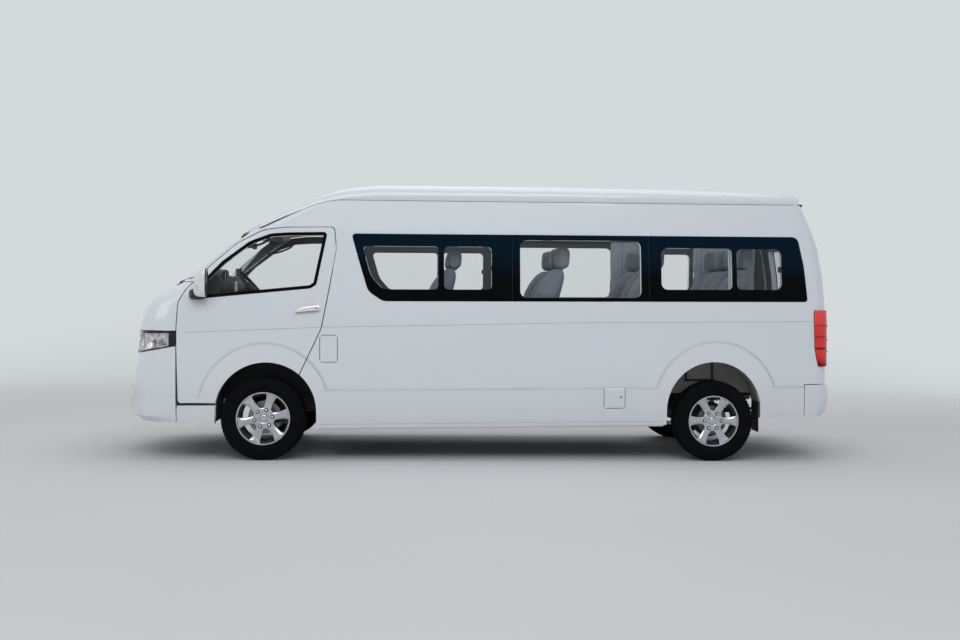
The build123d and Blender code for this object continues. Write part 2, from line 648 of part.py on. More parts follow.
floor = floor + cover_outer + platform - engine_space
rail_top = FLOOR_TOP - FLOOR_THICK
CROSS_X = [-800.0, 1000.0, 2150.0, 3050.0]
for y in (-RAIL_Y, RAIL_Y):
    floor = floor + block(
        -1000, 4560, y - RAIL_WIDTH / 2, y + RAIL_WIDTH / 2, rail_top - RAIL_HEIGHT, rail_top)
for x in CROSS_X:
    floor = floor + block(x, x + 60, -RAIL_Y, RAIL_Y, rail_top - RAIL_HEIGHT, rail_top)
floor = floor + tail_bar
door_stop = body_solid(WALL + SEAT_GAP, low=540.0, high=640.0) & block(*DOOR_STOP)
for stop in both(door_stop):
    floor = floor + stop
keep("floor_chassis", floor)
keep("engine_block", block(-80, 600, -260, 260, 330, PLATFORM_TOP - 110))

# ---- cab ---------------------------------------------------------------------------------------
DASH = [
    (BULKHEAD_X + BULKHEAD_THICK, 1000), (BULKHEAD_X + BULKHEAD_THICK, 1470), (-590, 1494, 30),
    (-470, 1504, 30), (-392, 1502, 20), (-352, 1440, 20), (-380, 1290, 40), (-450, 1180, 40),
    (-450, 1000)]
DASH_HALF = 740.0
STEERING_CENTRE = (-157.0, -420.0, 1411.0)
STEERING_LEAN = 48.6
STEERING_RADIUS = 180.0
STEERING_GRIP = 14.0
a = math.radians(STEERING_LEAN)
STEERING_AXIS = (math.sin(a), 0.0, math.cos(a))
HUB_DEEP = 40.0


def on_column(distance):
    return tuple(c + distance * d for c, d in zip(STEERING_CENTRE, STEERING_AXIS))


dash = INNER & across(DASH, -DASH_HALF, DASH_HALF)
dash = dash + bar(on_column(-HUB_DEEP - SEAT_GAP), on_column(-360), 30)
keep("dashboard", dash)
wheel_plane = Plane(origin=STEERING_CENTRE, z_dir=STEERING_AXIS)
grip = wheel_plane.location * Solid.make_torus(STEERING_RADIUS, STEERING_GRIP)
hub = wheel_plane.location * Pos(0, 0, -HUB_DEEP) * Solid.make_cylinder(45, HUB_DEEP)
wheel = grip + hub
for turn in (0, 120, 240):
    spoke = Rot(0, 0, turn) * Pos(30, -15, -16) * Solid.make_box(STEERING_RADIUS - 30, 30, 12)
    wheel = wheel + wheel_plane.location * spoke
keep("steering_wheel", wheel)

# ---- seats and curtains -------------------------------------------------------------------------
BACK = [(-260, 1000, 20), (-150, 1320, 0), (-62, 1580, 30), (30, 1580, 30), (-40, 1320, 0), (-138, 1000, 20)]
HEADREST = 97.0
CUSHION = (-620.0, -270.0)
CUSHION_LOW = 930.0
CUSHION_TOP = 1040.0
BACK_TOP = 1580.0
LEG_REACH = 620.0


def seat(x, top, y, base, lift=0.0):
    """Cushion on its base, and back with headrest."""
    low, high = y - SEAT_WIDTH / 2, y + SEAT_WIDTH / 2
    cushion = block(x + CUSHION[0], x + CUSHION[1], low, high, CUSHION_LOW + lift, CUSHION_TOP + lift)
    legs = block(
        x - 540, x - 320, max(low + 60, -LEG_REACH), min(high - 60, LEG_REACH), base, CUSHION_LOW + lift)
    profile = [(x + a, b + lift, r) for a, b, r in BACK]
    back = across(profile, low, high)
    rest = across(
        [(x - 62, BACK_TOP + lift, 10), (x - 48, top, 30), (x + 49, top, 30), (x + 30, BACK_TOP + lift, 10)],
        y - 130, y + 130)
    back = back + rest
    return cushion + legs, back + (block(
        x - 300, x - 170, low + 40, high - 40, 960 + lift, 1000 + lift) - cushion)


for x, top, places in SEAT_ROWS:
    for y in places:
        cushion, back = seat(x, top, y, FLOOR_TOP)
        keep("seat_cushions", cushion)
        keep("seat_backs", back)
for y in FRONT_SEATS[2]:
    cushion, back = seat(FRONT_SEATS[0], FRONT_SEATS[1], y, PLATFORM_TOP, 10.0)
    keep("seat_cushions", cushion)
    keep("seat_backs", back)

# Each row is one pair of curtains: where the left one hangs, and where the right one does.
CURTAINS = [
    (1960, 2080, 1960, 2080),
    (3120, 3250, 3095, 3410),
    (3870, 3950, 3920, 4320),
    (4330, 4440, 4385, 4550),
]
CURTAIN_Z = (1312.0, 1862.0)
CURTAIN_THICK = 42.0
cloth = body_solid(WALL + SEAT_GAP, low=1300.0, high=1870.0) - body_solid(
    WALL + SEAT_GAP + CURTAIN_THICK, low=1300.0, high=1870.0, extend=10.0)
for left0, left1, right0, right1 in CURTAINS:
    keep("curtains", cloth & block(left0, left1, -1000, -500, *CURTAIN_Z))
    keep("curtains", cloth & block(right0, right1, 500, 1000, *CURTAIN_Z))

# ---- rear axle, driveline, exhaust and tank --------------------------------------------------------
BACKPLATE_Y = 742.0
SPINDLE = 20.0
SPINDLE_END = 872.0
RUNNING = 0.05
axle = rod(REAR_X, -BACKPLATE_Y, BACKPLATE_Y, REAR_Z, AXLE_TUBE)
axle = axle + rod(REAR_X, -SPINDLE_END, SPINDLE_END, REAR_Z, SPINDLE)
axle = axle + (Pos(REAR_X, 0, REAR_Z) * Solid.make_sphere(135, angle1=-90, angle2=90, angle3=360))
for y in (-BACKPLATE_Y, BACKPLATE_Y - 8):
    axle = axle + rod(REAR_X, y, y + 8, REAR_Z, 150)
EYE = 620.0
LEAF = 10.0
for y in (-SPRING_Y, SPRING_Y):
    for n, half in enumerate((EYE, 500.0, 360.0, 220.0)):
        z = REAR_Z + AXLE_TUBE + 4 + 30 - n * LEAF
        axle = axle + block(REAR_X - half, REAR_X + half, y - 35, y + 35, z - LEAF, z)
    axle = axle + block(REAR_X - 50, REAR_X + 50, y - 45, y + 45, REAR_Z - 60, REAR_Z + AXLE_TUBE + 4)
    for x in (REAR_X - EYE, REAR_X + EYE - 40):
        axle = axle + block(x, x + 40, y - 35, y + 35, REAR_Z + AXLE_TUBE + 24, rail_top - SEAT_GAP)
keep("rear_axle", axle)
GEARBOX_END = 980.0
SHAFT_Z = 405.0
keep("gearbox", block(600 + SEAT_GAP, GEARBOX_END, -120, 120, 340, 540))
YOKE = 40.0
shaft = bar((GEARBOX_END + YOKE / 2, 0, SHAFT_Z), (REAR_X - 130, 0, REAR_Z), 38)
yoke_start = GEARBOX_END + SEAT_GAP
shaft = shaft + Pos(yoke_start, 0, SHAFT_Z) * Rot(0, 90, 0) * Solid.make_cylinder(46, YOKE)
keep("propshaft", shaft - (Pos(REAR_X, 0, REAR_Z) * Solid.make_sphere(136, angle1=-90, angle2=90, angle3=360)))
PIPE = 28.0
PIPE_Y = 560.0
PIPE_Z = 470.0
exhaust = bar((620, PIPE_Y, PIPE_Z), (2000, PIPE_Y, PIPE_Z), PIPE)
exhaust = exhaust + block(2000, 2620, PIPE_Y - 95, PIPE_Y + 95, PIPE_Z - 75, PIPE_Z + 65)
exhaust = exhaust + bar((2620, PIPE_Y, PIPE_Z), (3000, PIPE_Y, PIPE_Z), PIPE)
for x in (1300, 2100, 2500):
    exhaust = exhaust + block(x, x + 20, PIPE_Y - 10, PIPE_Y + 10, PIPE_Z, rail_top - SEAT_GAP)
keep("exhaust", exhaust)
keep("fuel_tank", block(1150, 2050, -820, -RAIL_Y - RAIL_WIDTH / 2 - 20, 310, rail_top - SEAT_GAP))

# ---- front suspension and wheels ---------------------------------------------------------------------
ARM_DROP = 113.0
ARM_THICK = 30.0
EYE_RADIUS = 32.0
BEAM = (-70.0, 80.0)
crossmember = block(*BEAM, -RAIL_Y, RAIL_Y, 215, 300)
for sign in (-1, 1):
    y0, y1 = sorted((sign * (RAIL_Y - 30), sign * (RAIL_Y + 30)))
    crossmember = crossmember + block(*BEAM, y0, y1, 215, rail_top - RAIL_HEIGHT - SEAT_GAP)
    for centre in (FRONT_Z - ARM_DROP, FRONT_Z + ARM_DROP - 18):
        plate = upward(
            [(BEAM[0], sign * RAIL_Y, 0), (BEAM[1], sign * RAIL_Y, 0),
             (FRONT_X + EYE_RADIUS - 4, sign * KINGPIN_Y, 0), (FRONT_X - EYE_RADIUS + 4, sign * KINGPIN_Y, 0)],
            centre - ARM_THICK / 2, centre + ARM_THICK / 2)
        eye = post(FRONT_X, sign * KINGPIN_Y, centre - ARM_THICK / 2, centre + ARM_THICK / 2, EYE_RADIUS)
        crossmember = crossmember + plate + eye
keep("front_crossmember", crossmember)

# From a wheel's middle plane in to its brake disc's two faces, and the caliper's reach past the disc.
DISC_SET_IN = (55.5, 31.5)
CALIPER_REACH = 16.0
DISC = (TRACK / 2 - DISC_SET_IN[0], TRACK / 2 - DISC_SET_IN[1])
DISC_RADIUS = 135.0
post_low = FRONT_Z - ARM_DROP + ARM_THICK / 2 + SEAT_GAP
post_high = FRONT_Z + ARM_DROP - 18 - ARM_THICK / 2 - SEAT_GAP
knuckle = post(FRONT_X, -KINGPIN_Y, post_low, post_high, KINGPIN_RADIUS)
knuckle = knuckle + rod(FRONT_X, -DISC[0] + 8, -KINGPIN_Y, FRONT_Z, 34)
knuckle = knuckle + rod(FRONT_X, -SPINDLE_END, -KINGPIN_Y, FRONT_Z, SPINDLE)
knuckle = knuckle + block(FRONT_X, FRONT_X + 150, -KINGPIN_Y - 14, -KINGPIN_Y + 2, FRONT_Z - 30, FRONT_Z + 30)
caliper = block(
    FRONT_X + 85, FRONT_X + 160, -DISC[1] - CALIPER_REACH, -KINGPIN_Y - 10, FRONT_Z - 45, FRONT_Z + 45)
caliper = caliper - block(FRONT_X, FRONT_X + 143, -DISC[1] - 6, -DISC[0] + 6, FRONT_Z - 60, FRONT_Z + 60)
knuckle = knuckle + caliper
knuckle = knuckle + block(FRONT_X - 130, FRONT_X, -KINGPIN_Y - 8, -KINGPIN_Y + 8, FRONT_Z - 60, FRONT_Z - 40)
keep("knuckle_left", knuckle)
keep("knuckle_right", mirror(knuckle, Plane.XZ))


def ring(profile):
    """Body of revolution about the wheel's spin axis, from (radius, offset outboard) corners."""
    face = rounded(profile, lambda r, y: (r, -y, 0))
    return Solid.revolve(face, 360, Axis.Y)


TREAD_HALF = 84.0
BEAD_RADIUS = 201.0
BARREL = 13.0
FLANGE = 8.0
BEAD_HALF = 80.0
SPOKES = 6
half = TYRE_WIDTH / 2
tyre_form = ring([
    (BEAD_RADIUS, -BEAD_HALF), (BEAD_RADIUS, BEAD_HALF), (RIM_RADIUS + 1, BEAD_HALF, 0),
    (250, half, 40), (300, half, 40), (TYRE_RADIUS, TREAD_HALF, 18), (TYRE_RADIUS, -TREAD_HALF, 18),
    (300, -half, 40), (250, -half, 40), (RIM_RADIUS + 1, -BEAD_HALF, 0)])
rim_form = ring([
    (BEAD_RADIUS - BARREL, -BEAD_HALF - FLANGE), (BEAD_RADIUS - BARREL, BEAD_HALF + FLANGE),
    (RIM_RADIUS, BEAD_HALF + FLANGE), (RIM_RADIUS, BEAD_HALF + SEAT_GAP),
    (BEAD_RADIUS, BEAD_HALF + SEAT_GAP), (BEAD_RADIUS, -BEAD_HALF - SEAT_GAP),
    (RIM_RADIUS, -BEAD_HALF - SEAT_GAP), (RIM_RADIUS, -BEAD_HALF - FLANGE)])
HUB_RADIUS = 96.0
FACE_IN = 22.0
FACE_OUT = 58.0
SPOKE_IN = 24.0
SPOKE_OUT = 38.0
hub_disc = rod(0, -FACE_OUT, -FACE_IN, 0, HUB_RADIUS)
centre_cap = rod(0, -FACE_OUT - 8, -FACE_OUT, 0, 34)
rim_form = rim_form + hub_disc + centre_cap
for n in range(SPOKES):
    spoke = across(
        [(HUB_RADIUS - 20, -SPOKE_IN), (BEAD_RADIUS - 4, -SPOKE_OUT),
         (BEAD_RADIUS - 4, SPOKE_OUT), (HUB_RADIUS - 20, SPOKE_IN)], -FACE_OUT - 8, -FACE_OUT + 20)
    rim_form = rim_form + Rot(0, n * 360 / SPOKES, 0) * spoke
bore = rod(0, -100, 100, 0, SPINDLE + RUNNING)
hub_tube = rod(0, -FACE_IN, 28, 0, 34)
front_rim = rim_form + rod(0, -FACE_IN, TRACK / 2 - DISC[0], 0, 34)
front_rim = front_rim - bore + rod(0, -FACE_OUT - 8, -FACE_OUT + 6, 0, 34)
drum = rod(0, -FACE_IN, 62, 0, 128) - rod(0, -FACE_IN + 10, 80, 0, 118)
rear_rim = rim_form + hub_tube + drum
rear_rim = rear_rim - bore + rod(0, -FACE_OUT - 8, -FACE_OUT + 6, 0, 34)
disc_form = rod(0, -(DISC[1] - TRACK / 2), -(DISC[0] - TRACK / 2), 0, DISC_RADIUS) - rod(0, -100, 100, 0, 34 + SEAT_GAP)

WHEELS = [
    ("front_left", FRONT_X, FRONT_Z, -1), ("front_right", FRONT_X, FRONT_Z, 1),
    ("rear_left", REAR_X, REAR_Z, -1), ("rear_right", REAR_X, REAR_Z, 1)]
for name, x, z, sign in WHEELS:
    rim = front_rim if name.startswith("front") else rear_rim
    pieces = [("tyre_", tyre_form), ("rim_", rim)]
    if name.startswith("front"):
        pieces.append(("brake_disc_", disc_form))
    for prefix, form in pieces:
        placed = Pos(x, -TRACK / 2, z) * form
        keep(prefix + name, placed if sign < 0 else mirror(placed, Plane.XZ))

# ---- door mirrors ------------------------------------------------------------------------------------
MIRROR_HEAD = [(-506, 1321, 30), (-522, 1384, 60), (-482, 1553, 30), (-426, 1553, 14), (-426, 1321, 14)]
mirror_head = across(MIRROR_HEAD, -1085, -945)
mirror_foot = across([(-585, 1318, 20), (-575, 1366, 20), (-470, 1366, 10), (-452, 1318, 10)], -960, -880)
door_mirror = (mirror_head + mirror_foot) - body_solid(-SEAT_GAP, low=1240.0, high=1600.0)
keep("mirror_left", door_mirror)
keep("mirror_right", mirror(door_mirror, Plane.XZ))

# ---- door handles and mudflaps -------------------------------------------------------------------
HANDLE = [(253, 1193, 3), (256, 1203, 0), (316, 1241, 40), (408, 1255, 60), (454, 1258, 8),
          (451, 1203, 8), (352, 1197, 80)]
HANDLE_FEET = [(268, 292, 1200, 1214), (420, 444, 1210, 1250)]
HANDLE_OUT = 956.0
HANDLE_BLADE = 16.0
SLIDER_HANDLE_X = 1132.0
clear_of_skin = body_solid(-SEAT_GAP, low=1100.0, high=1300.0)


def handle(shift, turn):
    """Pull handle on the left: a blade that stands off the skin on a foot at each end."""
    outline = [(shift + turn * x, z, radius) for x, z, radius in HANDLE]
    form = across(outline, -HANDLE_OUT, -HANDLE_OUT + HANDLE_BLADE)
    for x0, x1, z0, z1 in HANDLE_FEET:
        ends = sorted((shift + turn * x0, shift + turn * x1))
        form = form + block(*ends, -HANDLE_OUT + 2, -880, z0, z1)
    return form - clear_of_skin


keep("handle_left", handle(0, 1))
keep("handle_right", mirror(handle(0, 1), Plane.XZ))
keep("slider_handle", mirror(handle(SLIDER_HANDLE_X, -1), Plane.XZ))

FLAP = (4108.0, 4114.0, -912.0, -700.0, 185.0, 445.0)
FLAP_PAD = (4112.0, REAR_ARCH[0] + REAR_ARCH[2] + 2 - SEAT_GAP, -850.0, -720.0, 325.0, 375.0)
keep("mudflaps", *both(block(*FLAP) + block(*FLAP_PAD)))

# ---- write -------------------------------------------------------------------------------------------
tip = Axis((0, 0, 0), (0, 1, 0))
tipped = {name: [s.rotate(tip, -RAKE) for s in pieces] for name, pieces in NODES.items()}
boxes = [s.bounding_box() for pieces in tipped.values() for s in pieces]
CENTRE_X = (min(b.min.X for b in boxes) + max(b.max.X for b in boxes)) / 2
os.makedirs("parts", exist_ok=True)
for name, pieces in tipped.items():
    moved = [Pos(-CENTRE_X, 0, 0) * s for s in pieces]
    export_step(Compound(children=moved) if len(moved) > 1 else moved[0], f"parts/{name}.step")
    print(name, [round(s.volume / 1e6, 3) for s in pieces])
low = min(b.min.X for b in boxes)
high = max(b.max.X for b in boxes)
print("length", high - low, "height", max(b.max.Z for b in boxes), "floor", min(b.min.Z for b in boxes))
print("centre", CENTRE_X)
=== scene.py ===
import math

import bmesh
import bpy
from mathutils import Matrix, Vector
from mathutils.bvhtree import BVHTree


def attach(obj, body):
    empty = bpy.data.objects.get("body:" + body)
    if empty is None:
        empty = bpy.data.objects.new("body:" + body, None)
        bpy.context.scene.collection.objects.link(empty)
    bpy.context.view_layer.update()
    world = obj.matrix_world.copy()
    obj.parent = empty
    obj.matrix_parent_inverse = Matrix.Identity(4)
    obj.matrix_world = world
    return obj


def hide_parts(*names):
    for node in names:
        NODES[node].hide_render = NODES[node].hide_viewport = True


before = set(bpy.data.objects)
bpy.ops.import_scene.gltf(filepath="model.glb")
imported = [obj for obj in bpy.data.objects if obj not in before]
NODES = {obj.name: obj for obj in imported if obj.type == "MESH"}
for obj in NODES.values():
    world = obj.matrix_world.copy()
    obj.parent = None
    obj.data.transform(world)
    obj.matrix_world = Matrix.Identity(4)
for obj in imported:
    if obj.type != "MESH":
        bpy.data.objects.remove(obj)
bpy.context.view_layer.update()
SCENE = bpy.context.scene

# Body frame of the CAD source: millimetres, origin on the ground below the front axle, level.
RAKE = math.radians(0.85)
CENTRE_X = 1806.7524368258398
LEFT, RIGHT = -1, 1
SIDES = ((LEFT, "left"), (RIGHT, "right"))
FULL_TURN = 2 * math.pi


def P(x, y, z):
    """Level body frame in millimetres to the row frame in metres."""
    c, s = math.cos(RAKE), math.sin(RAKE)
    return Vector(((x * c - z * s - CENTRE_X) / 1000, y / 1000, (x * s + z * c) / 1000))


def G(x, y, z):
    """Ground frame in millimetres, origin below the front axle, to the row frame."""
    return Vector(((x - CENTRE_X) / 1000, y / 1000, z / 1000))


def L(p):
    """Row frame in metres back to the level body frame in millimetres."""
    c, s = math.cos(RAKE), math.sin(RAKE)
    x, z = p[0] * 1000 + CENTRE_X, p[2] * 1000
    return Vector((x * c + z * s, p[1] * 1000, z * c - x * s))


def blend(a, b, t):
    """The point a share t of the way from a to b."""
    return tuple(p + (q - p) * t for p, q in zip(a, b))


def linked(name, data):
    """New object of this data, in the scene."""
    obj = bpy.data.objects.new(name, data)
    SCENE.collection.objects.link(obj)
    return obj


# ---- camera and lights ----
PICTURE_WIDTH, PICTURE_HEIGHT = 960, 640
FOCAL_LENGTH = 1207.058
VANISHING = (573.444, 295.512)
SENSOR = 36
YAW, ROLL = 0.11743615, 0.01762705
CAMERA_PLACE = (1.33141525, -10.9, 1.37771301)

# name, place, target, size, power
LIGHTS = [("key", (-1.5, -9.0, 7.5), (0, 0, 1.0), (9, 4), 262),
          ("top", (0.5, 0.5, 8.0), (0, 0, 1.0), (9, 5), 150),
          ("back", (1.5, 9.0, 5.0), (0, 0, 1.0), (9, 3), 150),
          ("nose", (-9.0, -2.0, 4.0), (-2, 0, 1.0), (4, 3), 50),
          ("cabin_fill", (0.7, 0, 2.08), (0.7, 0, 0), (1.1, 4.2), 11)]


def make_camera():
    right = Vector((math.cos(YAW), -math.sin(YAW), 0))
    ahead = Vector((math.sin(YAW), math.cos(YAW), 0))
    up = Vector((0, 0, 1))
    turned = right * math.cos(ROLL) + up * math.sin(ROLL)
    up = up * math.cos(ROLL) - right * math.sin(ROLL)
    data = bpy.data.cameras.new("camera")
    data.sensor_width = SENSOR
    data.lens = FOCAL_LENGTH / PICTURE_WIDTH * SENSOR
    data.shift_x = (PICTURE_WIDTH / 2 - VANISHING[0]) / PICTURE_WIDTH
    data.shift_y = (VANISHING[1] - PICTURE_HEIGHT / 2) / PICTURE_WIDTH
    data.clip_end = 200
    x, y, z = CAMERA_PLACE
    SCENE.camera = linked("camera", data)
    SCENE.camera.matrix_world = Matrix((
        (turned.x, up.x, -ahead.x, x - CENTRE_X / 1000),
        (turned.y, up.y, -ahead.y, y),
        (turned.z, up.z, -ahead.z, z),
        (0, 0, 0, 1)))


def make_lights():
    for name, place, target, size, power in LIGHTS:
        data = bpy.data.lights.new(name, "AREA")
        data.shape = "RECTANGLE"
        data.size, data.size_y = size
        data.energy = power
        light = linked(name, data)
        light.location = place
        light.rotation_euler = (Vector(target) - Vector(place)).to_track_quat("-Z", "Y").to_euler()
        if name == "back":
            light.visible_glossy = False
        if name == "cabin_fill":
            # Soft fill under the cabin's ceiling, unseen itself.
            data.color = (0.93, 0.97, 1.0)
            light.rotation_euler = (0, 0, math.pi / 2)
            light.visible_camera = light.visible_transmission = light.visible_glossy = False


# ---- materials ----
class Graph:
    """Node tree filled by short calls. An input given as a socket is linked, any other is set."""

    def __init__(self, tree, prefix="ShaderNode"):
        self.tree, self.prefix = tree, prefix
        tree.nodes.clear()

    def add(self, kind, inputs=None, **settings):
        node = self.tree.nodes.new(self.prefix + kind)
        for key, value in settings.items():
            setattr(node, key, value)
        for key, value in (inputs or {}).items():
            if isinstance(value, bpy.types.NodeSocket):
                self.tree.links.new(value, node.inputs[key])
            else:
                node.inputs[key].default_value = value
        return node

    def coords(self, kind="Object"):
        return self.add("TexCoord").outputs[kind]

    def combine(self, operation, a, b):
        return self.add("Math", {0: a, 1: b}, operation=operation).outputs[0]

    def height(self):
        """Height of the surface point above the ground, in metres."""
        return self.add("SeparateXYZ", {0: self.coords()}).outputs["Z"]

    def span(self, value, low, high, to_low=0.0, to_high=1.0, kind="LINEAR"):
        return self.add("MapRange", {"Value": value, "From Min": low, "From Max": high, "To Min": to_low,
                                     "To Max": to_high}, interpolation_type=kind).outputs[0]

    def ramp(self, value, stops):
        """Colour ramp over (position, colour) stops."""
        node = self.add("ValToRGB", {0: value})
        elements = node.color_ramp.elements
        elements[0].position, elements[1].position = stops[0][0], stops[-1][0]
        for position, _ in stops[1:-1]:
            elements.new(position)
        for element, (_, colour) in zip(elements, stops):
            element.color = (*colour, 1)
        return node.outputs[0]

    def noise(self, scale, detail=2.0):
        inputs = {"Vector": self.coords(), "Scale": scale, "Detail": detail}
        return self.add("TexNoise", inputs).outputs["Fac"]

    def wave(self, direction, scale, distortion=0.0):
        return self.add("TexWave", {"Vector": self.coords(), "Scale": scale, "Distortion": distortion},
                        bands_direction=direction).outputs["Fac"]

    def drift(self, low, high, scale):
        """Colour that drifts between low and high over the surface."""
        return self.ramp(self.noise(scale, 4.0), [(0.3, low), (0.7, high)])

    def bump(self, height, strength, distance):
        node = self.add("Bump", {"Height": height, "Strength": strength, "Distance": distance})
        return node.outputs["Normal"]

    def principled(self, inputs):
        """Surface shader with these inputs, joined to the output."""
        shader = self.add("BsdfPrincipled", inputs)
        self.add("OutputMaterial", {"Surface": shader.outputs[0]})


def material(name):
    mat = bpy.data.materials.new(name)
    mat.use_nodes = True
    return mat, Graph(mat.node_tree)


HORIZON = (0.66, 0.70, 0.71)


def make_world():
    """Even light; what the camera sees is a pale sky that darkens upwards."""
    SCENE.world = bpy.data.worlds.new("world")
    SCENE.world.use_nodes = True
    graph = Graph(SCENE.world.node_tree)
    light = graph.add("Background", {"Color": (0.93, 0.96, 1.0, 1), "Strength": 0.52})
    rise = graph.add("SeparateXYZ", {0: graph.coords("Generated")}).outputs["Z"]
    sky = graph.ramp(rise, [(0.0, HORIZON), (0.10, (0.64, 0.67, 0.69)), (0.35, (0.56, 0.59, 0.61))])
    seen = graph.add("Background", {"Color": sky, "Strength": 1.0})
    rays = graph.add("LightPath").outputs
    most = graph.combine("MAXIMUM", rays["Is Camera Ray"], rays["Is Transmission Ray"])
    mix = graph.add("MixShader", {0: most, 1: light.outputs[0], 2: seen.outputs[0]})
    graph.add("OutputWorld", {0: mix.outputs[0]})


# Floor from its near edge to the foot of the backdrop's sweep, and the sweep's radius, in metres.
FLOOR_NEAR, FLOOR_FAR, SWEEP = -40.0, 7.0, 9.0
FLOOR_HALF_WIDTH, BACKDROP_TOP = 90, 40.0
SWEEP_STEPS = 24


def make_floor():
    """Pale floor that sweeps up into a backdrop behind and fades into the sky's colour far off."""
    line = [(FLOOR_NEAR, 0.0), (FLOOR_FAR, 0.0)]
    for k in range(1, SWEEP_STEPS + 1):
        t = math.pi / 2 * k / SWEEP_STEPS
        line.append((FLOOR_FAR + SWEEP * math.sin(t), SWEEP * (1 - math.cos(t))))
    line.append((FLOOR_FAR + SWEEP, BACKDROP_TOP))
    count = len(line)
    mesh = bpy.data.meshes.new("floor")
    mesh.from_pydata([(x, y, z) for x in (-FLOOR_HALF_WIDTH, FLOOR_HALF_WIDTH) for y, z in line], [],
                     [(n, n + count, n + count + 1, n + 1) for n in range(count - 1)])
    floor = linked("floor", mesh)
    mesh.shade_smooth()
    mat, graph = material("floor")
    cloud = graph.ramp(graph.noise(0.4), [(0.0, (0.66, 0.66, 0.675)), (1.0, (0.72, 0.72, 0.73))])
    near = graph.add("BsdfPrincipled", {"Base Color": cloud, "Roughness": 0.8})
    glow = graph.add("Emission", {"Color": (*HORIZON, 1)})
    away = graph.add("VectorMath", {0: graph.coords()}, operation="LENGTH").outputs["Value"]
    fade = graph.span(away, 4.5, 13.0, kind="SMOOTHSTEP")
    rays = graph.add("LightPath").outputs
    seen = graph.combine("MAXIMUM", rays["Is Camera Ray"], rays["Is Glossy Ray"])
    seen = graph.combine("MAXIMUM", seen, rays["Is Transmission Ray"])
    share = graph.combine("MULTIPLY", seen, fade)
    mix = graph.add("MixShader", {0: share, 1: near.outputs[0], 2: glow.outputs[0]})
    graph.add("OutputMaterial", {"Surface": mix.outputs[0]})
    mesh.materials.append(mat)


make_camera()
make_world()
make_floor()
make_lights()
SCENE.view_settings.view_transform = "Standard"


def surface(name, low, high, rough, metallic=0.0, scale=3.0, grain=None, coat=0.0, specular=None):
    """Material between two colours. rough is one number or a range; grain is (scale, strength, depth)."""
    mat, graph = material(name)
    inputs = {"Base Color": graph.drift(low, high, scale), "Metallic": metallic}
    if isinstance(rough, tuple):
        inputs["Roughness"] = graph.span(graph.noise(scale * 4), 0.0, 1.0, *rough)
    else:
        inputs["Roughness"] = rough
    if coat:
        inputs.update({"Coat Weight": coat, "Coat Roughness": 0.03})
    if specular is not None:
        inputs["Specular IOR Level"] = specular
    if grain:
        inputs["Normal"] = graph.bump(graph.noise(grain[0]), *grain[1:])
    graph.principled(inputs)
    return mat


def paint_material():
    """White enamel with a clear coat, faint road film towards the sill."""
    mat, graph = material("white_enamel")
    film = graph.combine("MULTIPLY", graph.span(graph.height(), 0.25, 0.8, 0.35, 0.0), graph.noise(5.0, 6.0))
    mix = graph.add("Mix", {"Factor": film, "A": (0.765, 0.81, 0.85, 1), "B": (0.62, 0.61, 0.59, 1)},
                    data_type="RGBA")
    graph.principled({"Base Color": mix.outputs["Result"], "Roughness": 0.28, "Coat Weight": 1.0,
                      "Coat Roughness": 0.04, "Normal": graph.bump(graph.noise(180.0), 0.03, 0.0005)})
    return mat


def glass_material(name, colour, alpha):
    mat, graph = material(name)
    graph.principled({"Base Color": graph.drift(colour, tuple(c * 1.15 for c in colour), 1.5),
                      "Roughness": 0.02, "Alpha": alpha, "Specular IOR Level": 0.9})
    return mat


def frit_material():
    """Black ceramic border behind glass, bluer higher up where it leans towards the sky: a painted sky
    reflection.
    """
    mat, graph = material("glass_border_sky_reflection")
    stops = [(0.35, (0.0015, 0.002, 0.003)), (0.62, (0.001, 0.010, 0.022))]
    graph.principled({"Base Color": graph.ramp(graph.span(graph.height(), 1.3, 1.95), stops),
                      "Roughness": 0.04, "Specular IOR Level": 0.06})
    return mat


def weave_material(name, low, high, scale, strength, rough, sheen):
    mat, graph = material(name)
    threads = graph.combine("MULTIPLY", graph.wave("X", scale, 0.6), graph.wave("Z", scale, 0.6))
    graph.principled({"Base Color": graph.drift(low, high, 14.0), "Roughness": rough, "Sheen Weight": sheen,
                      "Normal": graph.bump(threads, strength, 0.001)})
    return mat


# Height share and brightness of a tail lamp's bands, from its foot to its head; the bright ribs are painted
# highlight and the darker turns between them painted shade.
TAIL_RIB_SHADING = [
    (0.0, 0.25), (0.06, 0.30), (0.10, 0.62), (0.30, 0.85), (0.32, 0.30), (0.345, 0.30), (0.36, 0.80),
    (0.52, 0.72), (0.54, 0.32), (0.555, 0.75), (0.72, 0.80), (0.735, 0.36), (0.75, 0.86), (0.98, 0.95)]


def tail_lamp_material():
    """Red lens in bands: light ribs at the top as painted highlight, darker turns between as painted shade,
    deep red at the foot.
    """
    mat, graph = material("red_lens_painted_rib_shading")
    stops = [(at, (min(1.0, 1.15 * level), 0.125 * level ** 3, 0.115 * level ** 3))
             for at, level in TAIL_RIB_SHADING]
    graph.principled({"Base Color": graph.ramp(graph.span(graph.height(), 0.80, 1.29), stops),
                      "Normal": graph.bump(graph.wave("Z", 60.0), 0.5, 0.002),
                      "Roughness": 0.14, "Specular IOR Level": 0.2})
    return mat


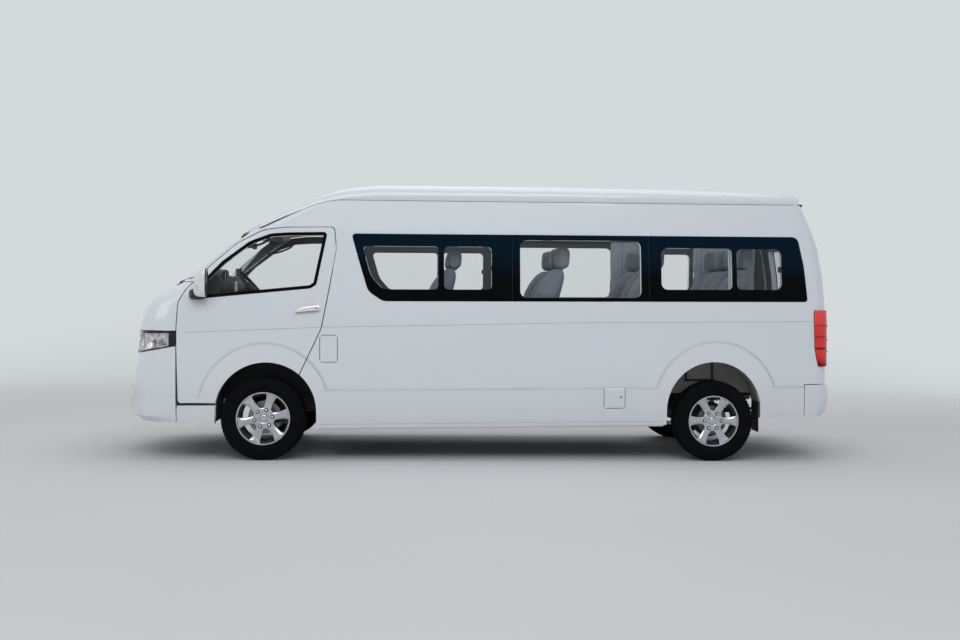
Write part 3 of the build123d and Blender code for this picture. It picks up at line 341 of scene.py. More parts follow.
PAINT = paint_material()
FRIT_PAINTED_SKY = frit_material()
RIB_SHADED_RED = tail_lamp_material()
CLEAR = glass_material("clear_glass", (0.16, 0.18, 0.19), 0.04)
TINT = glass_material("tinted_glass", (0.10, 0.12, 0.12), 0.22)
LENS = glass_material("lamp_cover", (0.80, 0.84, 0.88), 0.02)
SEAT = weave_material("seat_fabric", (0.17, 0.21, 0.25), (0.22, 0.265, 0.305), 260.0, 0.35, 0.85, 0.3)
CURTAIN = weave_material("curtain_cloth", (0.62, 0.67, 0.71), (0.70, 0.75, 0.79), 420.0, 0.25, 0.9, 0.5)
# Darker, duller copy of the enamel for the upward step faces of the flares and sill: painted shade.
PAINT_STEP_SHADE = surface("enamel_step_painted_shade", (0.57, 0.605, 0.64), (0.63, 0.665, 0.70), 0.6, scale=4, specular=0.2)
RUBBER = surface("seal_rubber", (0.006, 0.006, 0.006), (0.012, 0.012, 0.012), 0.6, scale=20,
                 grain=(300, 0.2, 0.0005))
BLACK = surface("black_plastic", (0.010, 0.010, 0.011), (0.020, 0.020, 0.021), (0.4, 0.6), scale=8,
                grain=(500, 0.3, 0.0005))
GLOSS_BLACK = surface("gloss_black", (0.002, 0.002, 0.0025), (0.004, 0.004, 0.005), 0.08, scale=4,
                      specular=0.08)
TYRE = surface("tyre_rubber", (0.002, 0.0028, 0.004), (0.0045, 0.0055, 0.007), (0.7, 0.9), scale=9,
               grain=(260, 0.35, 0.0008), specular=0.08)
CHROME = surface("chrome", (0.86, 0.87, 0.88), (0.93, 0.94, 0.95), (0.04, 0.10), 1.0, 6)
ALLOY = surface("alloy", (0.54, 0.56, 0.59), (0.62, 0.64, 0.67), (0.20, 0.27), 1.0, 6)
# Dark alloy: on the wheels' inner barrel and hub it is painted shade behind the spokes; on the service lock
# it is the lock's own dark metal.
DARK_ALLOY_AND_SHADE = surface("alloy_inner_dark_and_shade", (0.10, 0.10, 0.11), (0.20, 0.20, 0.21), (0.4, 0.6), 0.8, 12)
STEEL = surface("bare_steel", (0.24, 0.23, 0.22), (0.38, 0.36, 0.34), (0.3, 0.5), 1.0, 18, (300, 0.3, 0.0006))
IRON = surface("cast_iron", (0.055, 0.05, 0.047), (0.10, 0.085, 0.075), (0.6, 0.8), 0.5, 20,
               (160, 0.5, 0.001))
CHASSIS = surface("chassis_black", (0.018, 0.018, 0.019), (0.040, 0.038, 0.036), (0.5, 0.75), scale=6,
                  grain=(120, 0.4, 0.001))
LINER = surface("arch_liner", (0.27, 0.26, 0.24), (0.36, 0.35, 0.32), (0.7, 0.9), scale=7,
                grain=(90, 0.5, 0.001))
TRIM = surface("cabin_trim", (0.13, 0.145, 0.15), (0.16, 0.175, 0.18), (0.55, 0.7), scale=5,
               grain=(700, 0.4, 0.0005))
TRIM_DARK = surface("dark_trim", (0.035, 0.040, 0.044), (0.055, 0.060, 0.064), (0.5, 0.65), scale=6,
                    grain=(700, 0.4, 0.0005))
AMBER = surface("amber_lens", (0.80, 0.38, 0.20), (0.88, 0.48, 0.28), 0.12, scale=30, grain=(180, 0.4, 0.001),
                coat=0.5)
REPEATER = surface("repeater_lens", (0.80, 0.60, 0.38), (0.88, 0.70, 0.50), 0.12, scale=30)
LAMP_RED = surface("red_lens", (0.62, 0.030, 0.022), (0.74, 0.055, 0.035), 0.10, scale=22,
                   grain=(150, 0.25, 0.001), coat=0.8)
LAMP_RED_DEEP = surface("deep_red_lens", (0.20, 0.006, 0.006), (0.30, 0.012, 0.010), 0.12, scale=22, coat=0.8)
# Reflector colour drifting between near-black and white in patches: painted reflections.
REFLECTOR_PAINTED_GLINTS = surface("lamp_reflector_glints", (0.12, 0.13, 0.15), (1.0, 1.0, 1.0), (0.06, 0.16), 0.6, 20)
BRIGHT = surface("bright_chrome", (0.90, 0.90, 0.90), (0.96, 0.96, 0.95), (0.06, 0.14), 0.7, 8)
MIRROR = surface("mirror_glass", (0.80, 0.82, 0.83), (0.84, 0.86, 0.87), 0.02, 1.0, 2)
PLATE = surface("blank_plate", (0.72, 0.72, 0.72), (0.78, 0.78, 0.78), 0.4, scale=6)
# Grey for the thin lines along the belt and sill creases: painted shade.
CREASE_SHADE = surface("crease_shade", (0.30, 0.31, 0.33), (0.36, 0.37, 0.39), 0.5, scale=6)
SEALANT = surface("gutter_sealant", (0.20, 0.18, 0.17), (0.28, 0.26, 0.24), 0.6, scale=10,
                  grain=(200, 0.3, 0.0008))


# ---- mesh helpers ----
def finish_mesh(obj, mats, body, slot, node, smooth, bevel=0.0):
    """Materials, shading and edges of a piece, and what it is in the frame: body and replaced node; slot is
    not used.
    """
    for mat in mats if isinstance(mats, list) else [mats]:
        obj.data.materials.append(mat)
    obj.data.shade_smooth()
    obj.data.set_sharp_from_angle(angle=math.radians(smooth))
    if bevel:
        mod = obj.modifiers.new("bevel", "BEVEL")
        mod.width = bevel / 1000
        mod.segments = 2
        mod.limit_method = "ANGLE"
        mod.angle_limit = math.radians(40)
    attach(obj, body)
    if node:
        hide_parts(node)


def fix_normals(mesh):
    bm = bmesh.new()
    bm.from_mesh(mesh)
    bmesh.ops.recalc_face_normals(bm, faces=bm.faces)
    bm.to_mesh(mesh)
    bm.free()


BOX_FACES = [(0, 1, 3, 2), (4, 6, 7, 5), (0, 4, 5, 1), (2, 3, 7, 6), (0, 2, 6, 4), (1, 5, 7, 3)]


class Builder:
    """Collects the parts of one mesh; every method returns the builder, so that calls chain."""

    def __init__(self):
        self.verts, self.faces, self.indices = [], [], []

    def add(self, verts, faces, index=0):
        base = len(self.verts)
        self.verts += [tuple(v) for v in verts]
        self.faces += [tuple(i + base for i in f) for f in faces]
        self.indices += [index] * len(faces)
        return self

    def box(self, x0, x1, y0, y1, z0, z1):
        verts = [(x, y, z) for x in (x0, x1) for y in (y0, y1) for z in (z0, z1)]
        return self.add(verts, BOX_FACES)

    def tube(self, points, radius, sides=10, index=0):
        """Round bar through points, with parallel rings."""
        pts = [Vector(p) for p in points]
        count = len(pts)
        radii = radius if isinstance(radius, list) else [radius] * count
        side = None
        rings = []
        for n, p in enumerate(pts):
            way = (pts[min(n + 1, count - 1)] - pts[max(n - 1, 0)]).normalized()
            if side is None:
                side = way.orthogonal().normalized()
            side = (side - way * side.dot(way)).normalized()
            other = way.cross(side)
            rings.append([p + (side * math.cos(t) + other * math.sin(t)) * radii[n]
                          for t in (FULL_TURN * k / sides for k in range(sides))])
        return self.rings(rings, index)

    def rings(self, rings, index=0, closed_path=False, caps=True):
        """Skin over equal rings of points."""
        sides, count = len(rings[0]), len(rings)
        faces = []
        for n in range(count if closed_path else count - 1):
            a, b = n * sides, ((n + 1) % count) * sides
            for k in range(sides):
                m = (k + 1) % sides
                faces.append((a + k, a + m, b + m, b + k))
        if not closed_path and caps:
            faces.append(tuple(range(sides))[::-1])
            faces.append(tuple((count - 1) * sides + k for k in range(sides)))
        return self.add([tuple(p) for ring in rings for p in ring], faces, index)

    def lathe(self, profile, place, segments=48, index=0):
        """Turns (radius, axial) points about an axis; place(a, b, axial) gives the point."""
        turns = [FULL_TURN * n / segments for n in range(segments)]
        return self.rings([[place(r * math.cos(t), r * math.sin(t), s) for r, s in profile] for t in turns],
                          index, closed_path=True)

    def piece(self, name, mats, slot, body="body", node=None, smooth=35.0, bevel=0.0, place=P):
        mesh = bpy.data.meshes.new(name)
        mesh.from_pydata([place(*v) if place else v for v in self.verts], [], self.faces)
        mesh.polygons.foreach_set("material_index", self.indices)
        fix_normals(mesh)
        obj = linked(name, mesh)
        finish_mesh(obj, mats, body, slot, node, smooth, bevel)
        return obj


def rounded(points, count=8):
    """Outline through corners (a, b, radius) as plain points."""
    out = []
    size = len(points)
    for n in range(size):
        a0, b0 = points[n - 1][:2]
        a1, b1, radius = points[n]
        a2, b2 = points[(n + 1) % size][:2]
        if not radius:
            out.append((a1, b1))
            continue
        back = math.hypot(a0 - a1, b0 - b1)
        ahead = math.hypot(a2 - a1, b2 - b1)
        u = ((a0 - a1) / back, (b0 - b1) / back)
        v = ((a2 - a1) / ahead, (b2 - b1) / ahead)
        half = math.acos(max(-1.0, min(1.0, u[0] * v[0] + u[1] * v[1]))) / 2
        reach = radius / math.tan(half)
        w = (u[0] + v[0], u[1] + v[1])
        far = radius / math.sin(half) / math.hypot(*w)
        centre = (a1 + w[0] * far, b1 + w[1] * far)
        start = math.atan2(b1 + u[1] * reach - centre[1], a1 + u[0] * reach - centre[0])
        end = math.atan2(b1 + v[1] * reach - centre[1], a1 + v[0] * reach - centre[0])
        turn = (end - start + math.pi) % FULL_TURN - math.pi
        for k in range(count + 1):
            t = start + turn * k / count
            out.append((centre[0] + radius * math.cos(t), centre[1] + radius * math.sin(t)))
    return out


def grown(points, amount):
    """Corners moved outwards, keeping the outline's form."""
    count = len(points)
    area = sum(points[n - 1][0] * points[n][1] - points[n][0] * points[n - 1][1] for n in range(count))
    way = 1 if area > 0 else -1
    out = []
    for n in range(count):
        a0, b0 = points[n - 1][:2]
        a1, b1, radius = points[n]
        a2, b2 = points[(n + 1) % count][:2]
        d0, d1 = math.hypot(a1 - a0, b1 - b0), math.hypot(a2 - a1, b2 - b1)
        n0 = ((b1 - b0) / d0 * way, -(a1 - a0) / d0 * way)
        n1 = ((b2 - b1) / d1 * way, -(a2 - a1) / d1 * way)
        scale = amount / (1 + n0[0] * n1[0] + n0[1] * n1[1])
        cross = ((a1 - a0) * (b2 - b1) - (b1 - b0) * (a2 - a1)) * way
        change = amount if cross > 0 else -amount
        out.append((a1 + (n0[0] + n1[0]) * scale, b1 + (n0[1] + n1[1]) * scale,
                    max(radius + change, 2) if radius else 0))
    return out


def oval(cy, cz, ry, rz, power=3.2, count=36):
    points = []
    for n in range(count):
        t = FULL_TURN * n / count
        c, s = math.cos(t), math.sin(t)
        points.append((cy + ry * math.copysign(abs(c) ** (2 / power), c),
                       cz + rz * math.copysign(abs(s) ** (2 / power), s)))
    return points


def slices(rows, side=1, power=3.2, count=36):
    """Oval rings across x, from rows (x, middle y, middle z, half width, half height)."""
    return [[(x, side * y, z) for y, z in oval(*row, power, count)] for x, *row in rows]


def band(front, ys, section):
    """Rings across y that follow front(y, z), from a section of (offset along x, z)."""
    return [[(front(y, z) + off, y, z) for off, z in section] for y in ys]


def tree(*names):
    verts, polys = [], []
    for name in names:
        base = len(verts)
        mesh = NODES[name].data
        verts += [v.co.copy() for v in mesh.vertices]
        polys += [[i + base for i in p.vertices] for p in mesh.polygons]
    return BVHTree.FromPolygons(verts, polys)


def cast(bvh, origin, way):
    """Level-frame hit point of a level-frame ray."""
    a, b = P(*origin), P(*(Vector(origin) + Vector(way)))
    found = bvh.ray_cast(a, (b - a).normalized())
    return L(found[0]) if found[0] is not None else None


PANELS = ["side_left", "side_right", "sliding_door", "door_left", "door_right", "fuel_lid", "service_lid",
          "step_panels", "front_bumper", "bonnet", "front_wings", "front_frame", "roof_cap", "tailgate",
          "rear_frame", "rear_bumper"]
SKIN = tree(*PANELS, "door_glass_left", "door_glass_right", "side_glass", "tail_lamps", "head_lamps",
            "grille", "windscreen", "tailgate_glass")


# Where the rays that feel for the skin start, and the answer where they miss it.
SIDE_START, NOSE_START, TAIL_START = 2000, -2500, 6500
SIDE_MISS, NOSE_MISS, TAIL_MISS = 900.0, -1100.0, 4700.0


def side_y(x, z, side=LEFT):
    """How far out the body's skin is at (x, z)."""
    found = cast(SKIN, (x, side * SIDE_START, z), (0, -side, 0))
    return abs(found.y) if found else SIDE_MISS


def on_side(x, z, side, out):
    """Point this far out from the side's skin at (x, z)."""
    return (x, side * (side_y(x, z, side) + out), z)


def nose_x(y, z):
    found = cast(SKIN, (NOSE_START, y, z), (1, 0, 0))
    return found.x if found else NOSE_MISS


def tail_x(y, z):
    found = cast(SKIN, (TAIL_START, y, z), (-1, 0, 0))
    return found.x if found else TAIL_MISS


# ---- CAD nodes: shading and materials ----
WELD = 0.00002
SMOOTH_ANGLE = 24


def smooth_group():
    """Geometry Nodes group: weld, drop the imported normals, smooth all but real edges."""
    group = bpy.data.node_groups.new("smooth_panels", "GeometryNodeTree")
    for way in ("INPUT", "OUTPUT"):
        group.interface.new_socket("Geometry", in_out=way, socket_type="NodeSocketGeometry")
    graph = Graph(group, "")
    angle = graph.add("GeometryNodeInputMeshEdgeAngle").outputs["Unsigned Angle"]
    flat = graph.add("FunctionNodeCompare", {"A": angle, "B": math.radians(SMOOTH_ANGLE)},
                     data_type="FLOAT", operation="LESS_THAN").outputs[0]
    shape = graph.add("NodeGroupInput").outputs[0]
    for kind, inputs, settings in (
            ("RemoveAttribute", {"Name": "custom_normal"}, {}),
            ("MergeByDistance", {"Distance": WELD}, {}),
            ("SetShadeSmooth", {}, {"domain": "FACE"}),
            ("SetShadeSmooth", {"Shade Smooth": flat}, {"domain": "EDGE"})):
        shape = graph.add("GeometryNode" + kind, {"Geometry": shape, **inputs}, **settings).outputs[0]
    graph.add("NodeGroupOutput", {0: shape})
    return group


SMOOTH = smooth_group()


def dress(mat, *names):
    for name in names:
        obj = NODES[name]
        obj.data.materials.clear()
        obj.data.materials.append(mat)
        obj.modifiers.new("smooth", "NODES").node_group = SMOOTH


# How far under the skin a face of a side panel counts as the cabin's, and where the pressed steps lie whose
# upward faces get painted shade.
TRIM_DEPTH = 9.0
STEP_TOP, STEP_OUT = 960, 880


def trim_inside(trim, *names):
    """Gives inner faces the cabin's trim, and the flares' and sill's narrow step faces a darker enamel as
    painted shade.
    """
    for name in names:
        mesh = NODES[name].data
        mesh.materials.append(trim)
        mesh.materials.append(PAINT_STEP_SHADE)
        panel = name.startswith(("side", "sliding", "door"))
        picks = []
        for poly in mesh.polygons:
            c, normal = L(poly.center), poly.normal
            side = LEFT if c.y < 0 else RIGHT
            if panel:
                inner = side_y(c.x, c.z, side) - abs(c.y) > TRIM_DEPTH and abs(normal.y) > 0.5
            elif name == "roof_cap":
                inner = normal.z < -0.3
            elif name in ("tailgate", "rear_frame"):
                inner = normal.x < -0.3
            else:
                inner = normal.x > 0.2 or (abs(c.y) < side_y(c.x, c.z, side) - TRIM_DEPTH and c.x > -300)
            # Upward step faces of the flares and sill get the darker enamel as painted shade.
            up = normal.z > 0.05 and abs(normal.y) > 0.2
            step = panel and up and c.z < STEP_TOP and abs(c.y) > STEP_OUT
            picks.append(1 if inner else 2 if step else 0)
        mesh.polygons.foreach_set("material_index", picks)


dress(PAINT, *PANELS)
trim_inside(TRIM, "side_left", "side_right", "sliding_door", "roof_cap", "tailgate", "rear_frame")
trim_inside(TRIM_DARK, "door_left", "door_right", "front_frame")
dress(LINER, "wheel_housings")
housings = NODES["wheel_housings"].data
housings.materials.append(CHASSIS)
housings.polygons.foreach_set("material_index", [int(L(p.center).x < 1800) for p in housings.polygons])
dress(CHASSIS, "floor_chassis", "fuel_tank")
dress(IRON, "engine_block", "gearbox", "rear_axle", "front_crossmember", "knuckle_left", "knuckle_right")
dress(STEEL, "propshaft", "exhaust", "brake_disc_front_left", "brake_disc_front_right")
dress(TRIM_DARK, "dashboard", "bulkhead")
dress(CHROME, "grille")
dress(BLACK, "mudflaps", "steering_wheel")
dress(RIB_SHADED_RED, "tail_lamps")

# ---- glass: black ceramic borders and clear panes ----
# Corners (along, up, radius) of the see-through openings.
OPENINGS = [
    [(791, 1742, 30), (1411, 1742, 30), (1411, 1387, 30), (960, 1387, 90), (860, 1500, 200)],
    [(1458, 1742, 40), (1851, 1742, 40), (1851, 1387, 40), (1458, 1387, 40)],
    [(2087, 1799, 55), (3105, 1799, 55), (3105, 1321, 55), (2087, 1321, 55)],
    [(3278, 1742, 55), (3887, 1742, 40), (3887, 1391, 40), (3278, 1391, 55)],
    [(3930, 1738, 40), (4319, 1738, 55), (4319, 1392, 55), (3930, 1392, 40)],
]
DOOR_WINDOW = [
    (-550, 1306, 18), (-548, 1370, 0), (-326, 1609, 200), (-108, 1774, 220), (60, 1838, 200),
    (204, 1848, 0), (508, 1854, 26), (500, 1800, 0), (424, 1424, 34), (377, 1393, 0),
    (-448, 1313, 0),
]
SCREEN = [(-800, 1468, 60), (-735, 1864, 60), (735, 1864, 60), (800, 1468, 60)]
GATE_GLASS = [(-690, 1300, 60), (-650, 1800, 60), (650, 1800, 60), (690, 1300, 60)]
DOOR_BORDER, SCREEN_BORDER, GATE_BORDER = 26, 14, 34


def in_side(u, v, t):
    return P(u, t, v)


def in_front(u, v, t):
    return P(t, u, v)


def cut_pane(node, name, cutter, operation):
    """The node's welded mesh less the cutter, or only what lies in the cutter."""
    bm = bmesh.new()
    bm.from_mesh(NODES[node].data)
    bmesh.ops.remove_doubles(bm, verts=bm.verts, dist=WELD)
    mesh = bpy.data.meshes.new(name)
    mesh.from_pydata([tuple(v.co) for v in bm.verts], [], [tuple(v.index for v in f.verts) for f in bm.faces])
    bm.free()
    obj = linked(name, mesh)
    mod = obj.modifiers.new("cut", "BOOLEAN")
    mod.operation = operation
    mod.object = cutter
    mod.solver = "EXACT"
    dg = bpy.context.evaluated_depsgraph_get()
    mesh = bpy.data.meshes.new_from_object(obj.evaluated_get(dg))
    obj.modifiers.clear()
    obj.data = mesh
    mesh.materials.clear()
    return obj


def glaze(node, outlines, place, low, high, body, clear, border):
    """The pane as a black border and see-through windows."""
    form = Builder()
    for outline in outlines:
        line = rounded(outline, 6)
        form.rings([[place(u, v, t) for u, v in line] for t in (low, high)])
    mesh = bpy.data.meshes.new("cutter")
    mesh.from_pydata(form.verts, [], form.faces)
    fix_normals(mesh)
    cutter = linked("cutter", mesh)
    rim = cut_pane(node, node + "_border", cutter, "DIFFERENCE")
    pane = cut_pane(node, node + "_clear", cutter, "INTERSECT")
    bpy.data.objects.remove(cutter)
    finish_mesh(rim, border, body, "dark_glass", node, SMOOTH_ANGLE)
    finish_mesh(pane, clear, body, "clear_glass", node, SMOOTH_ANGLE)


DOOR_GLASS = [grown(DOOR_WINDOW, -DOOR_BORDER)]
# The ceramic borders carry a painted sky reflection, bluer higher up.
glaze("side_glass", OPENINGS, in_side, -1300, 1300, "body", CLEAR, FRIT_PAINTED_SKY)
glaze("door_glass_left", DOOR_GLASS, in_side, -1300, -300, "driver_door", CLEAR, GLOSS_BLACK)
glaze("door_glass_right", DOOR_GLASS, in_side, 300, 1300, "passenger_door", CLEAR, GLOSS_BLACK)
glaze("windscreen", [grown(SCREEN, -SCREEN_BORDER)], in_front, -1600, 400, "body", CLEAR, FRIT_PAINTED_SKY)
glaze("tailgate_glass", [grown(GATE_GLASS, -GATE_BORDER)], in_front, 4000, 5400, "tailgate", TINT, FRIT_PAINTED_SKY)

# ---- wheels ----
SPIN_Y = 827.5
WHEEL_Z = 338.0
# name, x on the ground, side, turn of the spokes in degrees
WHEELS = [("front_left", 0.0, LEFT, 11.0), ("front_right", 0.0, RIGHT, 23.0),
          ("rear_left", 3720.0, LEFT, 0.0), ("rear_right", 3720.0, RIGHT, 41.0)]
# Half of the tyre's section from the bead to the middle of the tread, as (radius, offset).
TYRE_HALF = [
    (201, 79.5), (216.5, 79.5), (219, 86), (224, 92), (233, 97), (246, 100.5), (252, 101.2), (254, 102.4),
    (257, 102.4), (259, 101.4), (276, 101.6), (291, 100.2), (293, 101.2), (297, 100.9), (299, 99.4),
    (308, 97.2), (314, 95.6), (316, 96), (324, 92), (330, 88), (334, 82.5), (336.8, 76.5), (338, 67),
    (338, 58), (330.5, 56.5), (330.5, 48.5), (338, 47), (338, 24), (330.5, 22.5), (330.5, 14.5), (338, 13)]
# The inner wall is kept within this, for room at full lock.
INNER_BULGE = 96.0
# Tread blocks round the tyre, each of four steps, with cross grooves in the shoulder and in the ribs.
PITCHES, STEPS = 66, 4
SHOULDER_RADIUS, SHOULDER_IN, RIB = 316.0, 57, (24, 47)
RIM = [
    (214, 80.2), (215.8, 84), (215.8, 88), (214, 90.5), (210, 91.5), (205.5, 90), (203, 86), (201.5, 78),
    (199, 72), (196, 66), (193, 52), (189, 20), (186, -30), (184, -84), (187, -88), (211, -88), (214, -84),
    (213, -80.4), (203, -80), (199.5, -74), (199.5, 74), (201, 80)]
HUB = [(0.4, 71), (12, 70.8), (23, 69.6), (29, 67.5), (31.5, 64.5), (32, 61.5), (34, 61), (36, 63), (52, 65),
       (70, 65), (82, 63), (89, 58), (92, 48), (92, 24), (0.4, 24)]
# A spoke's rows: radius, half width, height of the face, crown.
SPOKE = [(52, 20, 62, 2), (64, 27, 65, 4), (80, 30, 66, 6), (98, 29.5, 66.5, 8), (120, 29, 68, 9),
         (142, 30.5, 70.5, 9), (162, 33.5, 74, 9), (178, 37.5, 78, 8), (190, 42.5, 81.5, 6),
         (197, 48, 83, 4), (200, 52, 82, 2)]
SPOKES = 6
# Groove down a spoke's middle, (depth, half width as a share), and how far its edges and its back lie in.
SPOKE_LINE, SPOKE_EDGE, SPOKE_BACK = (2.2, 0.16), 14, 34
LUG_RADIUS = 71.0


def spoke_rings(turn):
    """One crowned spoke, waisted past the lug nuts and flaring into the rim."""
    rings = []
    a = math.radians(turn)
    for radius, half, face, crown in SPOKE:
        ring = []
        for n in range(13):
            t = n / 6 - 1
            s = face - crown * abs(t) ** 2.4 - SPOKE_LINE[0] * math.exp(-(t / SPOKE_LINE[1]) ** 2)
            ring.append((half * t, s))
        edge, back = face - crown - SPOKE_EDGE, face - SPOKE_BACK
        ring += [(half * 0.94, edge), (half * 0.6, back), (-half * 0.6, back), (-half * 0.94, edge)]
        rings.append([(radius * math.cos(a) - w * math.sin(a), radius * math.sin(a) + w * math.cos(a), s)
                      for w, s in ring])
    return rings


def groove(n, r, s):
    """Depth of the tread's cross grooves at step n, radius r and offset s."""
    if n % STEPS == 0 and abs(s) > SHOULDER_IN and r > SHOULDER_RADIUS:
        return 7.0 if r > 330 else 3.0
    if n % STEPS == 2 and RIB[0] <= abs(s) <= RIB[1] and r > 335:
        return 4.0
    return 0.0


def make_wheel(name, x, side, turn):
    body = "wheel_" + name

    def place(a, b, s):
        return (x + a, side * (SPIN_Y + s), WHEEL_Z + b)

    profile = TYRE_HALF + [(r, -min(s, INNER_BULGE)) for r, s in reversed(TYRE_HALF)]
    rings = []
    for n in range(PITCHES * STEPS):
        t = FULL_TURN * n / (PITCHES * STEPS)
        section = [(r - groove(n, r, s), s) for r, s in profile]
        rings.append([place(r * math.cos(t), r * math.sin(t), s) for r, s in section])
    Builder().rings(rings, closed_path=True).piece(
        "tyre_tread_" + name, TYRE, "tyre", body, "tyre_" + name, smooth=28, place=G)
    rim = Builder().lathe(RIM, place, 96).lathe(HUB, place, 72)
    inner = Builder().lathe([(185, -60), (191, 44), (189, 45), (182, -60)], place, 72)
    inner.lathe([(0.4, 24), (60, 24), (60, 8), (34, 4), (34, -56), (0.4, -56)], place, 40)
    if name.startswith("rear"):
        inner.lathe([(60, 18), (120, 16), (128, 8), (128, -58), (60, -58)], place, 56)
    nuts = Builder()
    for n in range(SPOKES):
        degrees = turn + 360 // SPOKES * n
        rim.rings([[place(*p) for p in ring] for ring in spoke_rings(degrees)])
        a = math.radians(degrees)
        cx, cz = LUG_RADIUS * math.cos(a), LUG_RADIUS * math.sin(a)

        def at_lug(p, q, s, cx=cx, cz=cz):
            return place(cx + p, cz + q, s)

        inner.lathe([(7, 62), (15.5, 62), (15.5, 66.4), (14, 67.2), (11.5, 66.2), (7, 66)], at_lug, 20, 1)
        nuts.lathe([(0.2, 60), (9.5, 60), (9.5, 72), (8, 75), (4, 77), (0.2, 77.5)], at_lug, 6)
    rim.piece("wheel_alloy_" + name, ALLOY, "alloy", body, "rim_" + name, smooth=38, place=G)
    # The wheel's inside is darkened alloy, painted shade behind the spokes.
    inner.piece("wheel_inside_" + name, [DARK_ALLOY_AND_SHADE, RUBBER], "iron", body, place=G)
    nuts.lathe([(32, 63.5), (33.5, 63.5), (33.5, 66), (32, 66.5)], place, 48)
    nuts.piece("lug_nuts_" + name, CHROME, "chrome", body, smooth=25, place=G)


for row in WHEELS:
    make_wheel(*row)

# ---- lamps ----
# A head lamp's grid: its columns run from the grille round to the door, its rows from the foot up.
LAMP_COLUMNS, LAMP_ROWS = 56, 15
LAMP_TOP = 1048.5
# Point inside the nose that the grid's lines meet at, and how far out they start.
LAMP_CENTRE, LAMP_REACH = (-700.0, 440.0), 900
# The reflector's bowls: share across, share up, half width as a share, depth.
BOWLS = [(0.16, 0.50, 0.15, 34), (0.42, 0.46, 0.13, 30), (0.70, 0.48, 0.085, 22)]
BOWL_HALF_HEIGHT = 0.40
REFLECTOR_BACK = 13.0
# Fine ripples on the reflector, (depth, frequency): along the turn lamp's part, and up the rest.
FACETS_FROM, TURN_FACETS, FACETS = 0.72, (3.0, 150), (1.6, 40)
# The lamp's lower edge: its height at the front, where its rise starts and over what length, and the rise.
FOOT_Z, FOOT_X, FOOT_LENGTH, FOOT_RISE = 863.5, -1030, 348, 64


def lamp_bottom(x):
    """The lamp's lower edge, which rises towards the door."""
    return FOOT_Z + max(0.0, min(1.0, (x - FOOT_X) / FOOT_LENGTH)) * FOOT_RISE


def lamp_grid(side):
    """Points on a head lamp's outer face, each with the way in and its shares across and up."""
    faces = tree("head_lamps")
    start = math.atan2(18.0, -425.0)
    end = math.atan2(-475.0, 17.0) + FULL_TURN
    grid = []
    for n in range(LAMP_COLUMNS + 1):
        t = start + (end - start) * n / LAMP_COLUMNS
        way = (math.cos(t), -side * math.sin(t))
        inward = Vector((-way[0], -way[1], 0))
        x, y = LAMP_CENTRE[0] + LAMP_REACH * way[0], side * LAMP_CENTRE[1] + LAMP_REACH * way[1]
        first = cast(faces, (x, y, 950), inward)
        low = lamp_bottom(first.x)
        line = []
        for k in range(LAMP_ROWS + 1):
            hit = cast(faces, (x, y, low + (LAMP_TOP - low) * k / LAMP_ROWS), inward)
            line.append((hit or first, inward, n / LAMP_COLUMNS, k / LAMP_ROWS))
        grid.append(line)
    return grid


def reflector_depth(u, v):
    """How deep the bright reflector lies behind the cover."""
    deep = REFLECTOR_BACK
    for cu, cv, size, extra in BOWLS:
        d = math.hypot((u - cu) / size, (v - cv) / BOWL_HALF_HEIGHT)
        if d < 1:
            deep = max(deep, REFLECTOR_BACK + extra * (1 - d * d) ** 0.5)
    if u > FACETS_FROM:
        deep += TURN_FACETS[0] * math.sin((u - FACETS_FROM) * TURN_FACETS[1])
    elif deep < REFLECTOR_BACK + 0.5:
        deep += FACETS[0] * math.sin(v * FACETS[1])
    return deep


def lamp_shell(name, mat, slot, outer, inner, grid, columns=(0, LAMP_COLUMNS), rows=(0, LAMP_ROWS),
               node=None):
    """Closed shell between two depths behind the lamp's face, over some columns and rows of the grid."""
    patch = [line[rows[0]:rows[1] + 1] for line in grid[columns[0]:columns[1] + 1]]
    a, b = len(patch), len(patch[0])
    verts = []
    for depth in (outer, inner):
        verts += [p + way * (depth(u, v) if callable(depth) else depth)
                  for line in patch for p, way, u, v in line]
    off = a * b
    faces = []
    for n in range(a - 1):
        for k in range(b - 1):
            q = (n * b + k, n * b + k + 1, (n + 1) * b + k + 1, (n + 1) * b + k)
            faces += [q, tuple(i + off for i in reversed(q))]
    edge = [n * b for n in range(a)] + [(a - 1) * b + k for k in range(1, b)]
    edge += [n * b + b - 1 for n in range(a - 2, -1, -1)] + [k for k in range(b - 2, 0, -1)]
    for n, i in enumerate(edge):
        j = edge[(n + 1) % len(edge)]
        faces.append((i, j, j + off, i + off))
    Builder().add(verts, faces).piece(name, mat, slot, node=node, smooth=40)


